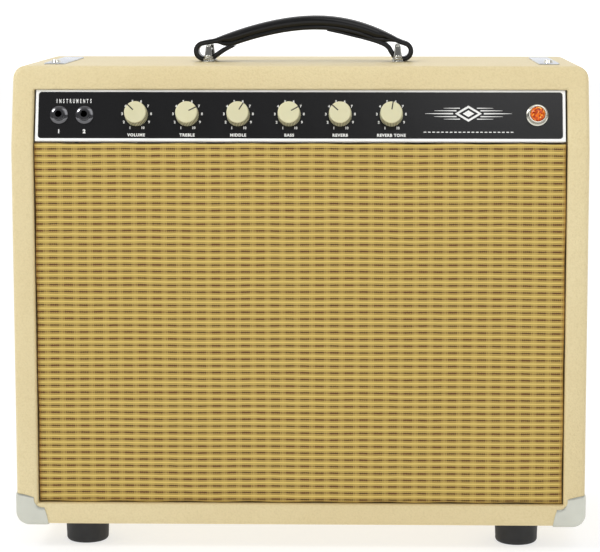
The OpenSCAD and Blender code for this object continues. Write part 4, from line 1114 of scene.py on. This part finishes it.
# ---- valves
def valves():
    m = Mat("valve_glass", srgb(226, 232, 236), 0.04, Transmission_Weight=1.0, IOR=1.45)
    m.bump(m.noise(120, 2), 0.04, 0.0003)
    glass = m.m
    getter = metal("getter_flash", (170, 172, 178), 0.12)
    plates = metal("grey_plates", (96, 98, 102), 0.5)
    low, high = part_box("power_tubes")
    y = (low.y + high.y) / 2
    down = Matrix.Rotation(pi, 4, "X")
    output_x, small_x = (22, 70, 120), (-96, -136, -176, -216)
    s = Soup()
    dome = fillet(3.5, 69.6, 12.0, 0, 90, 7)
    for x in output_x:
        at = moved(x * MM, y, high.z) @ down
        s.turn([(0, 0.2), (14.6, 0.2), (16, 1.4), (16, 17), (15.2, 22.6), (15.6, 24),
                (13, 24.4), (0, 24.4)], 48, 0, at)
        s.turn([(12.6, 24.2), (13.2, 26), (15.2, 31), (15.5, 38), (15.5, 68)] + dome
               + [(0, 81.8)], 48, 1, at)
        s.turn([(r - 0.7, h) for r, h in dome[3:]] + [(0, 81.0)], 32, 2, at)
        for w, z0, z1, r in ((9.0, 30, 64, 0.5), (10.6, 29, 30, 0.3), (10.6, 64, 65, 0.3)):
            s.add(*slab(*mm([(-w, -6.6, z0), (w, 6.6, z1)]), r * MM), 3, at)
    s.make("output_valves", [BLACK, glass, getter, plates], sharp=35, slot="valve_glass",
           replaces=["power_tubes"])
    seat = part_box("preamp_tubes")[1].z
    s = Soup()
    for x in small_x:
        at = moved(x * MM, y, seat) @ down
        s.turn([(0, 0.1), (9.6, 0.1), (10.4, 3), (10.4, 42)] + fillet(2.4, 42.0, 8.0, 0, 84, 6)
               + [(1.4, 49.6), (0, 50.0)], 40, 0, at)
        s.turn([(7.8, 44.6), (6.4, 47.4), (3.4, 49.0), (0, 49.3)], 32, 1, at)
        for side in (-1, 1):
            s.turn([(0, 9), (3.3, 9), (3.6, 9.6), (3.6, 35.4), (3.3, 36), (0, 36)], 24, 2,
                   at @ moved(side * 3.8 * MM, 0, 0))
        for h0, h1 in ((7.6, 8.6), (36.4, 37.2)):
            s.turn([(0, h0), (8.6, h0), (8.6, h1), (0, h1)], 32, 3, at)
    s.make("small_valves", [glass, getter, plates, WHITE], sharp=35, slot="valve_glass",
           replaces=["preamp_tubes"])


# ---- finishes of the CAD nodes
FINISH = {
    "baffle_board": PLY, "panel_cleats": PINE, "cabinet_screws": NICKEL, "foot_screws": ZINC,
    "chassis_bolts": NICKEL, "chassis": ALU, "panel_surround": WHITE,
    "control_plate": PLATE, "rear_plate": PLATE, "pot_bodies": CAN,
    "input_jacks": CHROME_DARK, "output_jacks": CHROME_DARK, "pilot_lamp": CAN,
    "power_switch_lever": NICKEL, "standby_switch_lever": NICKEL, "switch_bodies": CAN,
    "fuse_holder": BLACK, "fuse_cap": BLACK, "mains_inlet": BLACK, "tube_sockets": PHENOLIC,
    "tube_shields": ALU, "transformers": ENAMEL, "circuit_board": BOARD_FIBRE,
    "speaker_basket": BASKET, "speaker_bolts": ZINC, "reverb_tank": CAN,
    "internal_cables": CABLE,
    **{"shaft_" + k: STEEL for k in KNOBS},
}


def finish_nodes():
    for name, mat in FINISH.items():
        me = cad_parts[name].data
        me.materials.clear()
        me.materials.append(mat)


# ---- floor and light
def sky():
    """Soft white overhead and behind the object, dim in front where the camera stands."""
    world = bpy.data.worlds.new("studio")
    world.use_nodes = True
    nt = world.node_tree
    coord, split, rise, ramp = [nt.nodes.new("ShaderNode" + kind) for kind in
                                ("TexCoord", "SeparateXYZ", "Math", "ValToRGB")]
    rise.operation = "MULTIPLY_ADD"
    rise.inputs[1].default_value = 0.75
    low, high = ramp.color_ramp.elements
    low.position, low.color = 0.0, (0.3, 0.3, 0.31, 1)
    high.position, high.color = 0.7, (1, 1, 1, 1)
    for source, target in ((coord.outputs["Generated"], split.inputs[0]),
                           (split.outputs[2], rise.inputs[0]),
                           (split.outputs[1], rise.inputs[2]),
                           (rise.outputs[0], ramp.inputs[0]),
                           (ramp.outputs[0], nt.nodes["Background"].inputs[0])):
        nt.links.new(source, target)
    bpy.context.scene.world = world


def studio():
    scene = bpy.context.scene
    scene.view_settings.view_transform = "Standard"
    sky()
    verts, faces = lathe([(0, 0), (1.5, 0), (4, 0), (9, 0), (9.7, 0.2), (10.2, 0.7),
                          (10.4, 1.5)], 64)
    me = bpy.data.meshes.new("studio_floor")
    me.from_pydata(verts, [], faces)
    for name, grey, glow in (("studio_floor", 0.36, 0.68), ("studio_rim", 0.6, 0.85)):
        m = Mat(name, (grey, grey, grey), 0.8, Emission_Strength=glow)
        m.set("Emission Color", (1, 1, 1, 1))
        me.materials.append(m.m)
    for face in me.polygons:
        face.material_index = 1 if face.center.z > 0.01 else 0
    me.shade_smooth()
    floor = bpy.data.objects.new("studio_floor", me)
    scene.collection.objects.link(floor)

    for name, where, aim, size, power in (
            ("key", (-2.1, -1.55, 2.7), (0, 0, 0.35), 0.85, 38),
            ("front", (0.6, -1.3, 1.75), (0, 0, 0.4), 1.2, 7.5)):
        data = bpy.data.lights.new(name, "AREA")
        data.energy, data.size = power, size
        ob = bpy.data.objects.new(name, data)
        ob.location = where
        ob.rotation_euler = (Vector(aim) - Vector(where)).to_track_quat("-Z", "Y").to_euler()
        scene.collection.objects.link(ob)


cabinet_cover()
grille()
panel_print()
for i in range(6):
    knob(i)
panel_nuts()
pilot()
handle()
strap_rivets()
posts()
top_straps()
corner_caps()
feet()
rear_panels()
speaker()
valves()
finish_nodes()
studio()
